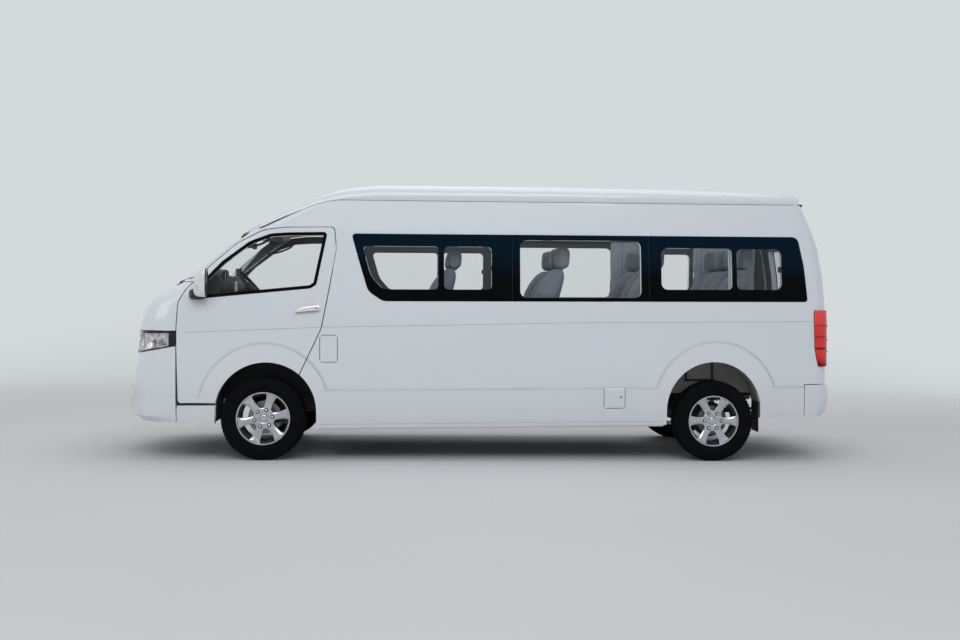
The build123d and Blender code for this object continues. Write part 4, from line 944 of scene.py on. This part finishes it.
for side, name in SIDES:
    grid = lamp_grid(side)
    lamp_shell("lamp_cover_" + name, LENS, "lamp_clear", 0.4, 3.0, grid, node="head_lamps")
    # The reflector's patchy bright and dark colour is painted reflection.
    lamp_shell("lamp_reflector_glints_" + name, REFLECTOR_PAINTED_GLINTS, "chrome", reflector_depth, 48.0, grid)
    lamp_shell("lamp_brow_" + name, GLOSS_BLACK, "dark_glass", 3.4, 12.0, grid, rows=(13, 15))
    lamp_shell("lamp_end_" + name, GLOSS_BLACK, "dark_glass", 3.4, 12.0, grid, columns=(52, 56))
    lamp_shell("lamp_sill_" + name, GLOSS_BLACK, "dark_glass", 3.4, 9.0, grid, rows=(0, 1))
    for n, (cu, cv, _, _) in enumerate(BOWLS):
        p, axis, _, _ = grid[round(cu * LAMP_COLUMNS)][round(cv * LAMP_ROWS)]
        across = Vector((-axis.y, axis.x, 0))

        def place(a, b, s, p=p, axis=axis, across=across):
            return p + axis * s + across * a + Vector((0, 0, 1)) * b

        # Two bright bulbs with rings towards the grille, and the amber turn lamp's at the corner.
        amber = n == 2
        r = 13 if amber else 11
        bulb = [(0.3, 13), (r * 0.6, 14), (r, 19), (r, 30), (r * 0.7, 34), (0.3, 34)]
        Builder().lathe(bulb, place, 20).piece(
            f"lamp_bulb_{name}_{n}", AMBER if amber else CHROME, "lamp_clear", smooth=50)
        if not amber:
            outer = 44 - 8 * n
            Builder().lathe([(outer, 9), (outer + 4, 9), (outer + 4, 14), (outer, 16)], place, 40).piece(
                f"lamp_ring_{name}_{n}", ALLOY, "chrome", smooth=40)

TAIL_FACES = tree("tail_lamps")
# Where the tail lamp's seal runs on the side, as (x, z), and how far back its lens turns in.
SEAL_LINE = [
    (4740, 1219.5), (4617, 1219.5), (4601, 1216), (4594, 1204), (4594.5, 1100), (4597, 1000), (4600, 900),
    (4613, 820), (4628, 755), (4636, 741), (4649, 737.5), (4740, 737.5)]
LENS_REACH = 50.0
LENS_LOW, LENS_HIGH, LENS_ROWS = 742, 1216, 40


def lens_edge(z):
    """Front edge of a tail lamp's lens at height z."""
    for (x0, z0), (x1, z1) in zip(SEAL_LINE[2:], SEAL_LINE[3:-1]):
        if z1 <= z <= z0:
            return x0 + (x1 - x0) * (z0 - z) / max(z0 - z1, 1e-6)
    return SEAL_LINE[3][0]


def lens_strip(side):
    """The lens's turned-in front border, from the body's skin up to the lamp's face."""
    rings = []
    for k in range(LENS_ROWS + 1):
        z = LENS_LOW + (LENS_HIGH - LENS_LOW) * k / LENS_ROWS
        x0 = lens_edge(min(z, LENS_HIGH - 0.1))
        skin = side_y(x0 - 6, z, side)
        face = side_y(x0 + LENS_REACH, z, side)
        line = []
        for n in range(9):
            t = n / 8
            rise = math.sin(t * math.pi / 2) ** 0.7 if t else 0.0
            line.append((x0 + LENS_REACH * t, side * (skin + 0.5 + (face - skin) * rise), z))
        rings.append(line + [(x, y - side * 2.0, z) for x, y, z in reversed(line)])
    return Builder().rings(rings)


for side, name in SIDES:
    Builder().tube([(x, side * (side_y(x - 3, z, side) + 1.0), z) for x, z in SEAL_LINE], 3.2, 8).piece(
        "tail_lamp_seal_" + name, RUBBER, "black_plastic")
    lens_strip(side).piece("tail_lamp_border_" + name, RIB_SHADED_RED, "lamp_red")
    screws = Builder()
    for z in (1085.0, 965.0, 868.0):
        edge = cast(TAIL_FACES, (5200, side * 850.0, z), (-1, 0, 0))
        if edge:
            screws.lathe([(0.3, -2), (7, -2), (7, 2), (5, 4.5), (0.3, 5)],
                         lambda a, b, s, e=edge: (e.x + s, e.y + a, e.z + b), 16)
    screws.piece("tail_lamp_screws_" + name, BLACK, "black_plastic")

# ---- door mirrors and handles ----
# x, lowest z, highest z, half width of a mirror head, front to back.
MIRROR_ROWS = [
    (-523, 1376, 1398, 12), (-519, 1354, 1432, 30), (-511, 1337, 1470, 46), (-498, 1327, 1506, 57),
    (-482, 1323, 1532, 64), (-462, 1321, 1546, 68), (-440, 1321, 1552, 70), (-429, 1322, 1552, 69.5),
    (-426, 1325, 1549, 66)]
# y, lowest x, highest x, lowest z, highest z of the mirror's foot, from the door out.
FOOT_ROWS = [
    (898, -578, -446, 1298, 1390), (925, -577, -446, 1298, 1388), (952, -570, -448, 1299, 1378),
    (978, -558, -450, 1302, 1362), (1000, -545, -455, 1308, 1346), (1012, -534, -462, 1316, 1338)]
MIRROR_Y, MIRROR_Z = 1015.0, 1437


def mirror_y(x, z):
    """How far out the mirror head's skin is at (x, z)."""
    for a, b in zip(MIRROR_ROWS, MIRROR_ROWS[1:]):
        if a[0] <= x <= b[0]:
            low, high, half = blend(a[1:], b[1:], (x - a[0]) / (b[0] - a[0]))
            off = min(1.0, abs(z - (low + high) / 2) / ((high - low) / 2))
            return MIRROR_Y + half * (1 - off ** 3.2) ** (1 / 3.2)
    return MIRROR_Y


for side, name, body in ((LEFT, "left", "driver_door"), (RIGHT, "right", "passenger_door")):
    Builder().rings(slices([(x, MIRROR_Y, (low + high) / 2, half, (high - low) / 2)
                            for x, low, high, half in MIRROR_ROWS], side)).piece(
        "mirror_cap_" + name, PAINT, "mirror_paint", body, "mirror_" + name, smooth=50)
    black = Builder().rings(slices([(x, MIRROR_Y, MIRROR_Z, 66 + grow, 112 + grow) for x, grow in
                                    ((-427, 1), (-423, 1), (-422, -2), (-422, -7), (-425, -9))], side))
    black.rings([[(x, side * y, z)
                  for x, z in oval((x0 + x1) / 2, (z0 + z1) / 2, (x1 - x0) / 2, (z1 - z0) / 2)]
                 for y, x0, x1, z0, z1 in FOOT_ROWS])
    black.piece("mirror_foot_" + name, BLACK, "black_plastic", body, smooth=50)
    Builder().rings(slices([(x, MIRROR_Y, MIRROR_Z, 58 - cut, 104 - cut) for x, cut in
                            ((-426, 0), (-423.5, 0), (-423, 1))], side)).piece(
        "mirror_glass_" + name, MIRROR, "chrome", body, smooth=30)
    Builder().rings([[(x, side * (mirror_y(x, z) + out), z)
                      for x, z in oval(-488, 1402, 15 * k, 24 * k, 2.4, 24)]
                     for k, out in ((1.0, -2.5), (0.98, 0.8), (0.85, 2.4), (0.5, 3.2), (0.1, 3.4))]).piece(
        "mirror_repeater_" + name, REPEATER, "lamp_clear", body, smooth=50)

# x, middle height, half height of the pull handle's blade from its front end.
HANDLE_ROWS = [(255, 1198, 3), (264, 1203, 9), (290, 1214, 16), (330, 1223, 20), (380, 1229, 22),
               (428, 1234, 22.5), (446, 1235, 21), (453, 1235.5, 14)]
# Two feet that hold the blade: x from, to, z from, to.
HANDLE_FEET = ((268, 292, 1202, 1212), (420, 444, 1212, 1248))
HANDLE_Y = 947.5
CUP_X, CUP_Z = 352, 1222
# side, name, body, replaced node, turn and shift along x, shift of the cup and lock behind the blade
HANDLES = ((LEFT, "left", "driver_door", "handle_left", 1, 0, 0),
           (RIGHT, "right", "passenger_door", "handle_right", 1, 0, 0),
           (RIGHT, "slider", "body", "slider_handle", -1, 1132, 272))
for side, name, body, node, turn, shift, cup_shift in HANDLES:
    blade = Builder().rings(slices([(shift + turn * x, HANDLE_Y, mid, 8.5, half)
                                    for x, mid, half in HANDLE_ROWS], side, 2.4, 24))
    for x0, x1, z0, z1 in HANDLE_FEET:
        a, b = sorted((shift + turn * x0, shift + turn * x1))
        y = side_y((a + b) / 2, (z0 + z1) / 2, side) - 1
        blade.box(a, b, *sorted((side * min(y, 930), side * 948)), z0, z1)
    blade.piece("door_handle_" + name, BRIGHT, "chrome", body, node, smooth=50)
    Builder().tube([(shift + turn * x, side * 943, mid - half - 0.5) for x, mid, half in HANDLE_ROWS[1:-1]],
                   3.0, 8).piece("handle_shade_" + name, RUBBER, "black_plastic", body)
    Builder().lathe([(0.3, 1), (3, 1), (4, 2.2), (9, 2.2), (10.5, 1), (10.5, -3), (0.3, -3)],
                    lambda a, b, s: (430 + cup_shift + a, side * (956 + s), 1232 + b), 24).piece(
        "handle_lock_" + name, ALLOY, "chrome", body)
    cx = CUP_X + cup_shift
    rings = []
    for grow, out in ((1.0, 0.6), (0.97, 1.4), (0.9, 1.2), (0.5, 0.7), (0.06, 0.6)):
        line = [(cx + (p - cx) * grow, CUP_Z + (q - CUP_Z) * grow) for p, q in oval(cx, CUP_Z, 58, 17, 3, 40)]
        rings.append([(a, side * (side_y(cx, b, side) + out), b) for a, b in line])
    Builder().rings(rings, caps=False).piece("handle_cup_" + name, PAINT, "white_paint", body, smooth=50)

# ---- seats ----
# x, top of the headrests, places across of each row; the cab's pair stands on the platform.
SEAT_ROWS = [(1570, 1715, (-582, -190, 582)), (2490, 1752, (-582, -190, 582)),
             (3310, 1760, (-582, -190, 582)), (4090, 1765, (-582, -194, 194, 582))]
CAB_X, CAB_TOP, CAB_Y = 640, 1790, 430
SEAT_HALF, HEADREST_HALF = 190.0, 134
FLOOR_Z, PLATFORM_Z, CAB_LIFT = 600.0, 880.0, 10.0
# Height, middle of the back's thickness behind x, half thickness.
BACK_LINE = [(1004, -222, 98), (1100, -206, 102), (1210, -186, 100), (1320, -158, 94), (1420, -118, 84),
             (1510, -74, 68), (1560, -46, 52)]
# A rail stays within this of the middle.
WALL_Y = 640
# A pad's crown as a share of its thickness; depth and width of its sewn channels and of its piping lines;
# and how much its bolsters stand up.
CROWN, CHANNEL, PIPING, BOLSTER = 0.10, (7.0, 0.018), (6.0, 0.045), 7.0


def pad(rows, half, channels=(), bolster=None, count=44, power=3.6):
    """Closed crowned form with sewn channels across and piping lines along. Each row is (middle, unit way of
    the thickness, half thickness, share of the width) from one end to the other."""
    rings = []
    for n, (middle, way, thick, share) in enumerate(rows):
        ring = []
        v = n / (len(rows) - 1)
        sunk = sum(CHANNEL[0] * math.exp(-((v - c) / CHANNEL[1]) ** 2) for c in channels)
        for k in range(count):
            t = FULL_TURN * k / count
            c, s = math.cos(t), math.sin(t)
            u = math.copysign(abs(c) ** (2 / power), c)
            w = math.copysign(abs(s) ** (2 / power), s)
            deep = thick * (1 + CROWN * (1 - u * u)) - (sunk if s > 0.3 else 0)
            if bolster and s > 0.3:
                deep -= PIPING[0] * math.exp(-((abs(u) - bolster) / PIPING[1]) ** 2)
                deep += BOLSTER * max(0.0, abs(u) - bolster)
            ring.append(middle + way * (w * deep) + Vector((0, 1, 0)) * (half * share * u))
        rings.append(ring)
    return rings


def ends(steps, sharp=7.0):
    """Shares along a pad, each with its share of the full size, which falls off near both ends."""
    return [(n / steps, max(0.12, (1 - abs(2 * n / steps - 1) ** sharp) ** 0.5)) for n in range(steps + 1)]


def soft(name, rings, node=None):
    Builder().rings(rings).piece(name, SEAT, "seat_cloth", node=node, smooth=60)


def back_line(z):
    for a, b in zip(BACK_LINE, BACK_LINE[1:]):
        if z <= b[0]:
            break
    return blend(a[1:], b[1:], (z - a[0]) / (b[0] - a[0]))


def make_seat(name, x, top, y, base, lift):
    rows = [(Vector((x - 622 + 352 * v, y, 984 + lift + 9 * (1 - v))), Vector((0, 0, 1)),
             56 * (0.35 + 0.65 * share), 0.90 + 0.10 * share) for v, share in ends(26)]
    soft("seat_pad_" + name, pad(rows, SEAT_HALF, (0.42,), 0.66), "seat_cushions")
    rows = []
    for v, share in ends(32):
        z = 1000 + 560 * v
        mx, thick = back_line(max(z, BACK_LINE[0][0]))
        shoulder = 1.0 if v < 0.72 else 1.0 - 0.30 * ((v - 0.72) / 0.28) ** 2.2
        rows.append((Vector((x + mx, y, z + lift)), Vector((-0.96, 0, 0.28)), thick * (0.35 + 0.65 * share),
                     (0.90 + 0.10 * share) * shoulder))
    soft("seat_rest_" + name, pad(rows, SEAT_HALF, (0.30, 0.56), 0.66), "seat_backs")
    low = 1572 + lift
    rows = [(Vector((x - 30 + 12 * v, y, low + (top - low) * v)), Vector((-0.99, 0, 0.12)),
             58 * (0.3 + 0.7 * share), 0.86 + 0.14 * share) for v, share in ends(14, 4.0)]
    soft("seat_headrest_" + name, pad(rows, HEADREST_HALF, count=36, power=4.4))
    stand = Builder()
    rail = 926 + lift
    for post in (-62, 62):
        stand.tube([(x - 26, y + post, 1540 + lift), (x - 14, y + post, 1640 + lift)], 6.0, index=1)
    for post in (-132, 132):
        yy = max(-WALL_Y, min(WALL_Y, y + post))
        for px in (x - 548, x - 316):
            stand.tube([(px, yy, 932 + lift), (px, yy, base + 8)], 13.0, 12)
        stand.tube([(px - 250, yy, base + 10), (px + 20, yy, base + 10)], 11.0)
        stand.tube([(x - 590, yy, rail), (x - 290, yy, rail)], 14.0, 12)
    for px in (x - 548, x - 316):
        stand.tube([(px, max(-WALL_Y, y - 132), rail), (px, min(WALL_Y, y + 132), rail)], 12.0, 12)
    stand.rings([[(x + a, y + b, z + lift) for a, b in oval(-222, 0, 74, 150, 6, 32)]
                 for z in (956, 960, 996, 1000)])
    stand.piece("seat_frame_" + name, [BLACK, STEEL], "underbody", smooth=40)


for number, (x, top, y) in enumerate((x, top, y) for x, top, places in SEAT_ROWS for y in places):
    make_seat(f"{number:02d}", x, top, y, FLOOR_Z, 0.0)
for side, name in SIDES:
    make_seat("cab_" + name, CAB_X, CAB_TOP, side * CAB_Y, PLATFORM_Z, CAB_LIFT)

# ---- curtains ----
# Where each pair hangs: left from, left to, right from, right to.
CURTAINS = [(1960, 2080, 1960, 2080), (3120, 3250, 3095, 3410), (3870, 3950, 3920, 4320),
            (4330, 4440, 4385, 4550)]
CURTAIN_LOW, CURTAIN_HIGH = 1316.0, 1858.0
CURTAIN_ROWS = 22
# How far in from the body's skin the cloth's middle hangs, and the width of one fold.
CURTAIN_IN, FOLD = 55.3 + 21.0, 38.0
# Width between the cloth's columns; and its pinch, as (share, height as a share, spread).
COLUMN, PINCH = 3.2, (0.07, 0.42, 0.10)


def make_curtain(name, x0, x1, side, seed):
    columns = max(48, int((x1 - x0) / COLUMN))
    folds = (x1 - x0) / FOLD
    points = []
    for k in range(CURTAIN_ROWS + 1):
        v = k / CURTAIN_ROWS
        z = CURTAIN_LOW + (CURTAIN_HIGH - CURTAIN_LOW) * v
        line = []
        walls = [max(side_y(x + d, z, side) for d in (-24, 0, 24)) - CURTAIN_IN for x in (x0, x1)]
        for n in range(columns + 1):
            u = n / columns
            phase = (FULL_TURN * folds * u + 0.5 * math.sin(3.1 * u * folds + seed)
                     + 0.25 * math.sin(2.2 * v + seed))
            swing = 8.0 + 3.0 * math.sin(1.7 * u * folds + seed) - 3.0 * v
            px = x0 + (x1 - x0) * u + 2.6 * math.sin(2 * phase)
            px += ((x0 + x1) / 2 - px) * PINCH[0] * math.exp(-((v - PINCH[1]) / PINCH[2]) ** 2)
            wall = walls[0] + (walls[1] - walls[0]) * u
            line.append(P(px, side * (wall + swing * math.sin(phase)), z))
        points.append(line)
    faces = []
    for k in range(CURTAIN_ROWS):
        for n in range(columns):
            a = k * (columns + 1) + n
            faces.append((a, a + 1, a + columns + 2, a + columns + 1))
    obj = Builder().add([p for line in points for p in line], faces).piece(
        name, CURTAIN, "curtain_cloth", node="curtains", smooth=80, place=None)


for n, (left0, left1, right0, right1) in enumerate(CURTAINS):
    make_curtain(f"curtain_left_{n}", left0, left1, LEFT, n + 0.3)
    make_curtain(f"curtain_right_{n}", right0, right1, RIGHT, n + 1.9)
rails = Builder()
for side, first in ((LEFT, 700), (RIGHT, 2020)):
    # height of the rail, height at which the wall is felt for, drop
    for z, level, drop in ((CURTAIN_LOW - 2, CURTAIN_LOW - 62, -4), (CURTAIN_HIGH + 2, CURTAIN_HIGH + 54, 4)):
        rails.tube([(x, side * (side_y(x, level, side) - 72 + drop), z) for x in range(first, 4561, 240)],
                   4.0, 8)
        for x in range(first + 20, 4561, 480):
            y = side_y(x, level, side) - 50
            rails.tube([(x, side * y, z), (x, side * (y - 24), z)], 4.0, 8)
rails.piece("curtain_rails", ALLOY, "chrome")

# ---- cab ----
LEAN = math.radians(48.6)
AXIS = Vector((math.sin(LEAN), 0, math.cos(LEAN)))
RISE = Vector((-math.cos(LEAN), 0, math.sin(LEAN)))


def on_wheel(a, b, s):
    """Point on the steering wheel: a across, b up the wheel's face, s out along the column."""
    return Vector((-157, -420, 1411)) + Vector((0, 1, 0)) * a + RISE * b + AXIS * s


Builder().rings([[on_wheel(a * k, b * k - 6, s) for a, b in oval(0, 0, 62, 58, 2.8, 32)]
                 for k, s in ((0.9, -14), (1.0, -8), (1.0, 0), (0.94, 5), (0.7, 8), (0.1, 9))]).piece(
    "steering_boss", TRIM_DARK, "black_plastic", "steering_wheel", smooth=50)
cab = Builder().tube([on_wheel(0, 0, -44), on_wheel(0, 0, -150)], [44, 50], 20)
for way in LEFT, RIGHT:
    cab.tube([on_wheel(way * a, b, s) for a, b, s in ((40, 6, -70), (120, 14, -62), (165, 16, -58))],
             [8, 7, 9])
# Binnacle hood over the dials, rounded, on the dashboard's top.
cab.rings(slices([(x, -420, 1490, 150 * k, 62 * k) for x, k in
                  ((-560, 0.55), (-520, 0.88), (-450, 1.0), (-392, 1.0), (-372, 0.97))], power=3, count=32))
# Middle stack with a blank display and vents.
cab.rings(slices([(x, 0, 1380, half, 118) for x, half in ((-420, 128), (-372, 120), (-356, 108))],
                 power=4, count=32))
for y in (-640, -215, 215, 640):
    cab.rings(slices([(x, y, 1402, 52 * k, 30 * k) for x, k in ((-380, 1.0), (-352, 0.95), (-350, 0.8))],
                     power=3, count=24))
cab.piece("dash_fittings", TRIM_DARK, "dash", smooth=45)
dials = Builder()
for y in (-478, -362):
    dials.lathe([(0.3, 0), (48, 0), (52, 3), (54, 3), (54, -6), (0.3, -6)],
                lambda a, b, s, y=y: Vector((-366 + s, y + a, 1490 + b)), 32)
dials.rings(slices([(x, 0, 1412, 84, 44) for x in (-357, -352)], power=8, count=32))
dials.piece("dial_rings", GLOSS_BLACK, "dash", smooth=40)
Builder().tube([(-330, -40, 900), (-300, -36, 1060), (-290, -34, 1130)], [9, 8, 8], 12).tube(
    [(-290, -34, 1126), (-286, -34, 1150), (-282, -34, 1178)], [14, 24, 14], 16).piece(
    "gear_lever", BLACK, "black_plastic")
for side, name in SIDES:
    grips = Builder()
    for start, end, reach in (((-560, 1420), (-420, 1580), 30), ((-196, 1726), (40, 1800), 34)):
        path = []
        for n in range(11):
            x, z = blend(start, end, n / 10)
            out = reach * math.sin(math.pi * (n / 10)) ** 0.6
            path.append((x + out * 0.3, side * (side_y(x, z, side) - 62 - out), z - out * 0.6))
        grips.tube(path, [11] + [9] * 9 + [11])
    grips.piece("grab_handles_" + name, BLACK, "black_plastic")
Builder().tube([(-236, 0, 1836), (-214, 0, 1806), (-196, 0, 1786)], 8).rings(
    slices([(x, 0, 1772, 122 * k, 34 * k) for x, k in
            ((-210, 0.75), (-202, 0.98), (-192, 1.0), (-189, 0.96))], power=3.4, count=32)).piece(
    "cabin_mirror", BLACK, "black_plastic", smooth=45)


# ---- outside trim ----
def skin_line(name, points, radius, mat, body, side, sink, slot="black_plastic"):
    """Thin round line that lies on the side's skin."""
    path = []
    for a, b in zip(points, points[1:]):
        steps = max(1, int(math.hypot(b[0] - a[0], b[1] - a[1]) / 60))
        path += [(a[0] + (b[0] - a[0]) * n / steps, a[1] + (b[1] - a[1]) * n / steps) for n in range(steps)]
    path.append(points[-1])
    Builder().tube([on_side(x, z, side, -sink) for x, z in path], radius, 8).piece(name, mat, slot, body)


BELT_LINE = ((-700, 1032), (463, 1077), (2584, 1114), (4700, 1123))


def belt_z(x):
    for (x0, z0), (x1, z1) in zip(BELT_LINE, BELT_LINE[1:]):
        if x <= x1:
            return z0 + (z1 - z0) * (x - x0) / (x1 - x0)


# The belt crease on each panel, from and to, drawn as a thin dark line of painted shade.
CREASES = {
    LEFT: [("driver_door", -660, 455), ("body", 476, 4606)],
    RIGHT: [("passenger_door", -660, 455), ("body", 476, 612), ("body", 636, 1986), ("body", 2010, 4606)]}
GUTTER = [(160, 1978), (364, 2062), (507, 2110), (608, 2120.5), (1500, 2120), (3000, 2120), (4556, 2119.5)]
for side, label in SIDES:
    for n, (body, x0, x1) in enumerate(CREASES[side]):
        count = max(1, int((x1 - x0) / 250))
        xs = [x0 + (x1 - x0) * k / count for k in range(count + 1)]
        skin_line(f"belt_crease_shade_{label}_{n}", [(x, belt_z(x)) for x in xs], 2.0, CREASE_SHADE, body, side, 1.2,
                  "white_paint")
    skin_line("gutter_sealant_" + label, GUTTER, 3.0, SEALANT, "body", side, 1.2)
    # Dark strip in the gap under the front door, on the step panel: painted shade of the gap.
    Builder().rings([[(x, side * (side_y(x, 445, side) - deep), z)
                      for deep, z in ((5, 449.5), (5, 464), (34, 464), (34, 449.5))]
                     for x in (-664, -570, -470, -374)]).piece(
        "step_gap_shade_" + label, RUBBER, "black_plastic", bevel=1.0)
    # Dark line along the sill crease: painted shade.
    skin_line("sill_crease_shade_" + label, [(x, 286) for x in range(460, 3301, 355)], 1.6, CREASE_SHADE, "body", side,
              0.9, "white_paint")
    # Pinch weld under the sill.
    Builder().rings([[(x, side * y, z) for y, z in ((884, 240), (888, 240), (888, 262), (884, 262))]
                     for x in (446, 1400, 2400, 3300)]).piece(
        "sill_flange_" + label, PAINT, "white_paint", bevel=0.8)
    edge = side_y(4540, 2116, side)
    Builder().rings(slices([(x, edge - 4, 2128, 11 * k, 12 * k) for x, k in
                            ((4532, 0.8), (4540, 1.0), (4562, 1.0), (4568, 0.6))], side, 3, 20)).piece(
        "gutter_plug_" + label, BLACK, "black_plastic")

LOCK_X, LOCK_Z = 2931, 492
skin = side_y(LOCK_X, LOCK_Z)
Builder().lathe([(0.3, 1.5), (4, 1.5), (8, 1.0), (9, 0), (9, -4), (0.3, -4)],
                lambda a, b, s: (LOCK_X + a, -(skin + s), LOCK_Z + b), 24).piece(
    "service_lock", DARK_ALLOY_AND_SHADE, "chrome", "service_lid")

# Pane joints, latches and inner posts of the side glass.
seams, latches, posts = Builder(), Builder(), Builder()
for side in (LEFT, RIGHT):
    for x in (2022.0, 3174.0):
        seams.tube([(x, side * (side_y(x + 20, z, side) - 3.0), z) for z in range(1292, 1843, 50)], 2.6, 8)
    for x, x0, x1, z0, z1 in ((4300, 4290, 4328, 1540, 1588), (1851, 1840, 1866, 1545, 1585)):
        y = side * (side_y(x, 1560, side) - 14)
        latches.box(x0, x1, y - 8, y + 8, z0, z1)
    for x, z0, z1 in ((1434.5, 1389, 1740), (3908.5, 1393, 1738)):
        posts.tube([on_side(x, z, side, -16) for z in (z0, (z0 + z1) / 2, z1)], 8)
seams.piece("pane_seals", RUBBER, "black_plastic")
latches.piece("window_latches", BLACK, "black_plastic", bevel=3.0)
posts.piece("sliding_window_posts", BLACK, "black_plastic")

# Track of the sliding door, and the slot in it as a black strip of painted shade.
for name, mat, slot, bevel, section in (
        ("slider_track", PAINT, "white_paint", 1.5, ((1176, -2), (1176, 4), (1196, 4), (1196, -2))),
        ("slider_track_slot_shade", RUBBER, "black_plastic", 0.0,
         ((1180, 3), (1180, 4.6), (1192, 4.6), (1192, 3)))):
    Builder().rings([[on_side(x, z, RIGHT, out) for z, out in section]
                     for x in (2012, 2500, 3000, 3330)]).piece(name, mat, slot, bevel=bevel)


# ---- nose ----
def grille_x(y, z):
    """Front skin of the grille, which the open slots don't give."""
    return -1131 - (950 - z) * 0.117 + y * y / 3700


def intake_x(y, z):
    return -1184 + y * y / 3700


grid = Builder()
for k in range(15):
    z = 884 + k * 10.5
    grid.tube([(grille_x(y, z) + 32, y, z) for y in range(-400, 401, 50)], 1.6, 6)
for n in range(49):
    y = -396 + n * 16.5
    grid.tube([(grille_x(y, z) + 33, y, z) for z in (880, 960, 1035)], 1.4, 6)
grid.piece("grille_mesh", BLACK, "black_plastic")
Builder().rings(band(grille_x, range(-412, 413, 103), ((40, 868), (44, 868), (44, 1044), (40, 1044)))).piece(
    "grille_back", RUBBER, "black_plastic")
intake = Builder()
for k in range(9):
    z = 402 + k * 18.5
    intake.tube([(intake_x(y, z) + 28, y, z) for y in range(-410, 411, 41)], 2.2, 6)
for n in range(37):
    y = -405 + n * 22.5
    intake.tube([(intake_x(y, z) + 30, y, z) for z in (396, 470, 554)], 1.8, 6)
intake.rings(band(intake_x, range(-430, 431, 86), ((46, 380), (50, 380), (50, 570), (46, 570))))
intake.piece("intake_mesh", BLACK, "black_plastic")
for side, name in SIDES:
    def at_fog(a, b, s, y=side * 545, z=470):
        return (nose_x(y + a, z + b) + s, y + a, z + b)

    Builder().lathe([(0.3, -1), (28, -1.5), (36, 0.5), (38, 0), (38, 8), (0.3, 8)],
                    lambda a, b, s: at_fog(a, b, s - 2), 40).piece(
        "fog_lamp_" + name, LENS, "lamp_clear", smooth=40)
    ring = Builder().lathe([(37, -1.0), (42, -1.6), (46, -1.0), (48, 1), (48, 5), (37, 5)], at_fog, 40)
    ring.lathe([(0.3, 0.5), (36, 0.5), (36, 3), (0.3, 3)], lambda a, b, s: at_fog(a, b, s - 0.5), 40)
    ring.piece("fog_ring_" + name, ALLOY, "chrome", smooth=40)

Builder().rings(band(nose_x, range(-220, 221, 40), (
    (3, 605), (-1.6, 605), (-1.6, 660), (-1.6, 715), (3, 715)))).piece(
    "front_plate", PLATE, "white_paint", bevel=0.6)
Builder().rings(band(nose_x, range(-228, 229, 38), (
    (4, 596), (-1.0, 598), (-1.0, 660), (-1.0, 722), (4, 724)))).piece(
    "front_plate_holder", BLACK, "black_plastic")
Builder().rings(band(nose_x, range(-620, 621, 62), (
    (-2, 1420), (-2, 1436), (-2, 1452), (3, 1452), (3, 1436), (3, 1420)))).piece(
    "cowl_grille", BLACK, "black_plastic")
for n, (pivot, tip) in enumerate((((-560, 1438), (40, 1476)), ((60, 1436), (640, 1484)))):
    path, blade = [], []
    for k in range(9):
        y, z = blend(pivot, tip, k / 8)
        path.append((nose_x(y, z) - 9 - 4 * math.sin(math.pi * (k / 8)), y, z))
    for k in range(13):
        y, z = tip[0] - 480 + 520 * k / 12, tip[1] + 14 - 40 + 48 * k / 12
        blade.append((nose_x(y, z) - 4, y, z))
    x, y, z = path[0]
    Builder().tube(path, [7] + [5] * 7 + [3.5], 8).tube(blade, 4.5, 8).tube(
        [(x + 22, y, z - 6), (x + 2, y, z)], [16, 12], 16).piece(f"wiper_{n}", BLACK, "black_plastic")

# ---- tail ----
Builder().rings(band(lambda y, z: tail_x(y, 1130), range(-330, 331, 60), (
    (-2, 1096), (10, 1100), (16, 1124), (14, 1146), (-2, 1150)))).piece(
    "tailgate_garnish", PAINT, "white_paint", "tailgate", bevel=2.0)
Builder().rings(band(lambda y, z: tail_x(y, 1090), range(-90, 91, 30), (
    (-1, 1078), (8, 1080), (8, 1096), (-1, 1096)))).piece(
    "tailgate_grip", BLACK, "black_plastic", "tailgate", bevel=2.0)
# name, material, slot, half width, heights, corner radius, offsets from the tailgate's skin at height, bevel
for name, mat, slot, half, z0, z1, radius, height, offsets, bevel in (
        ("rear_plate", PLATE, "white_paint", 220, 860, 970, 8, 900, (-14, 3.5), 0.6),
        ("high_brake_lamp", LAMP_RED, "lamp_red", 160, 1975, 2000, 9, 1985, (-12, 8, 10), 2.0)):
    corners = [(y, z, radius) for y, z in ((-half, z0), (half, z0), (half, z1), (-half, z1))]
    Builder().rings([[(tail_x(0, height) + off, y, z) for y, z in rounded(corners, 4)]
                     for off in offsets]).piece(name, mat, slot, "tailgate", bevel=bevel)
x = tail_x(0, 1272)
wiper = Builder().tube([(x - 6, 0, 1265), (x + 22, 0, 1268)], [16, 13], 16)
for off, radius, path in ((16, [8, 6, 5, 4], ((0, 1268), (-120, 1330), (-260, 1400), (-360, 1450))),
                          (6, 5, ((-180, 1352), (-300, 1420), (-420, 1488), (-540, 1556)))):
    wiper.tube([(tail_x(y, z) + off, y, z) for y, z in path], radius, 8)
wiper.piece("rear_wiper", BLACK, "black_plastic", "tailgate")
for side, name in SIDES:
    Builder().rings(band(lambda y, z: tail_x(y, 520), [side * y for y in (520, 580, 640, 700)], (
        (-2, 502), (2.5, 504), (2.5, 536), (-2, 538)))).piece(
        "bumper_reflector_" + name, LAMP_RED_DEEP, "lamp_red", bevel=1.0)
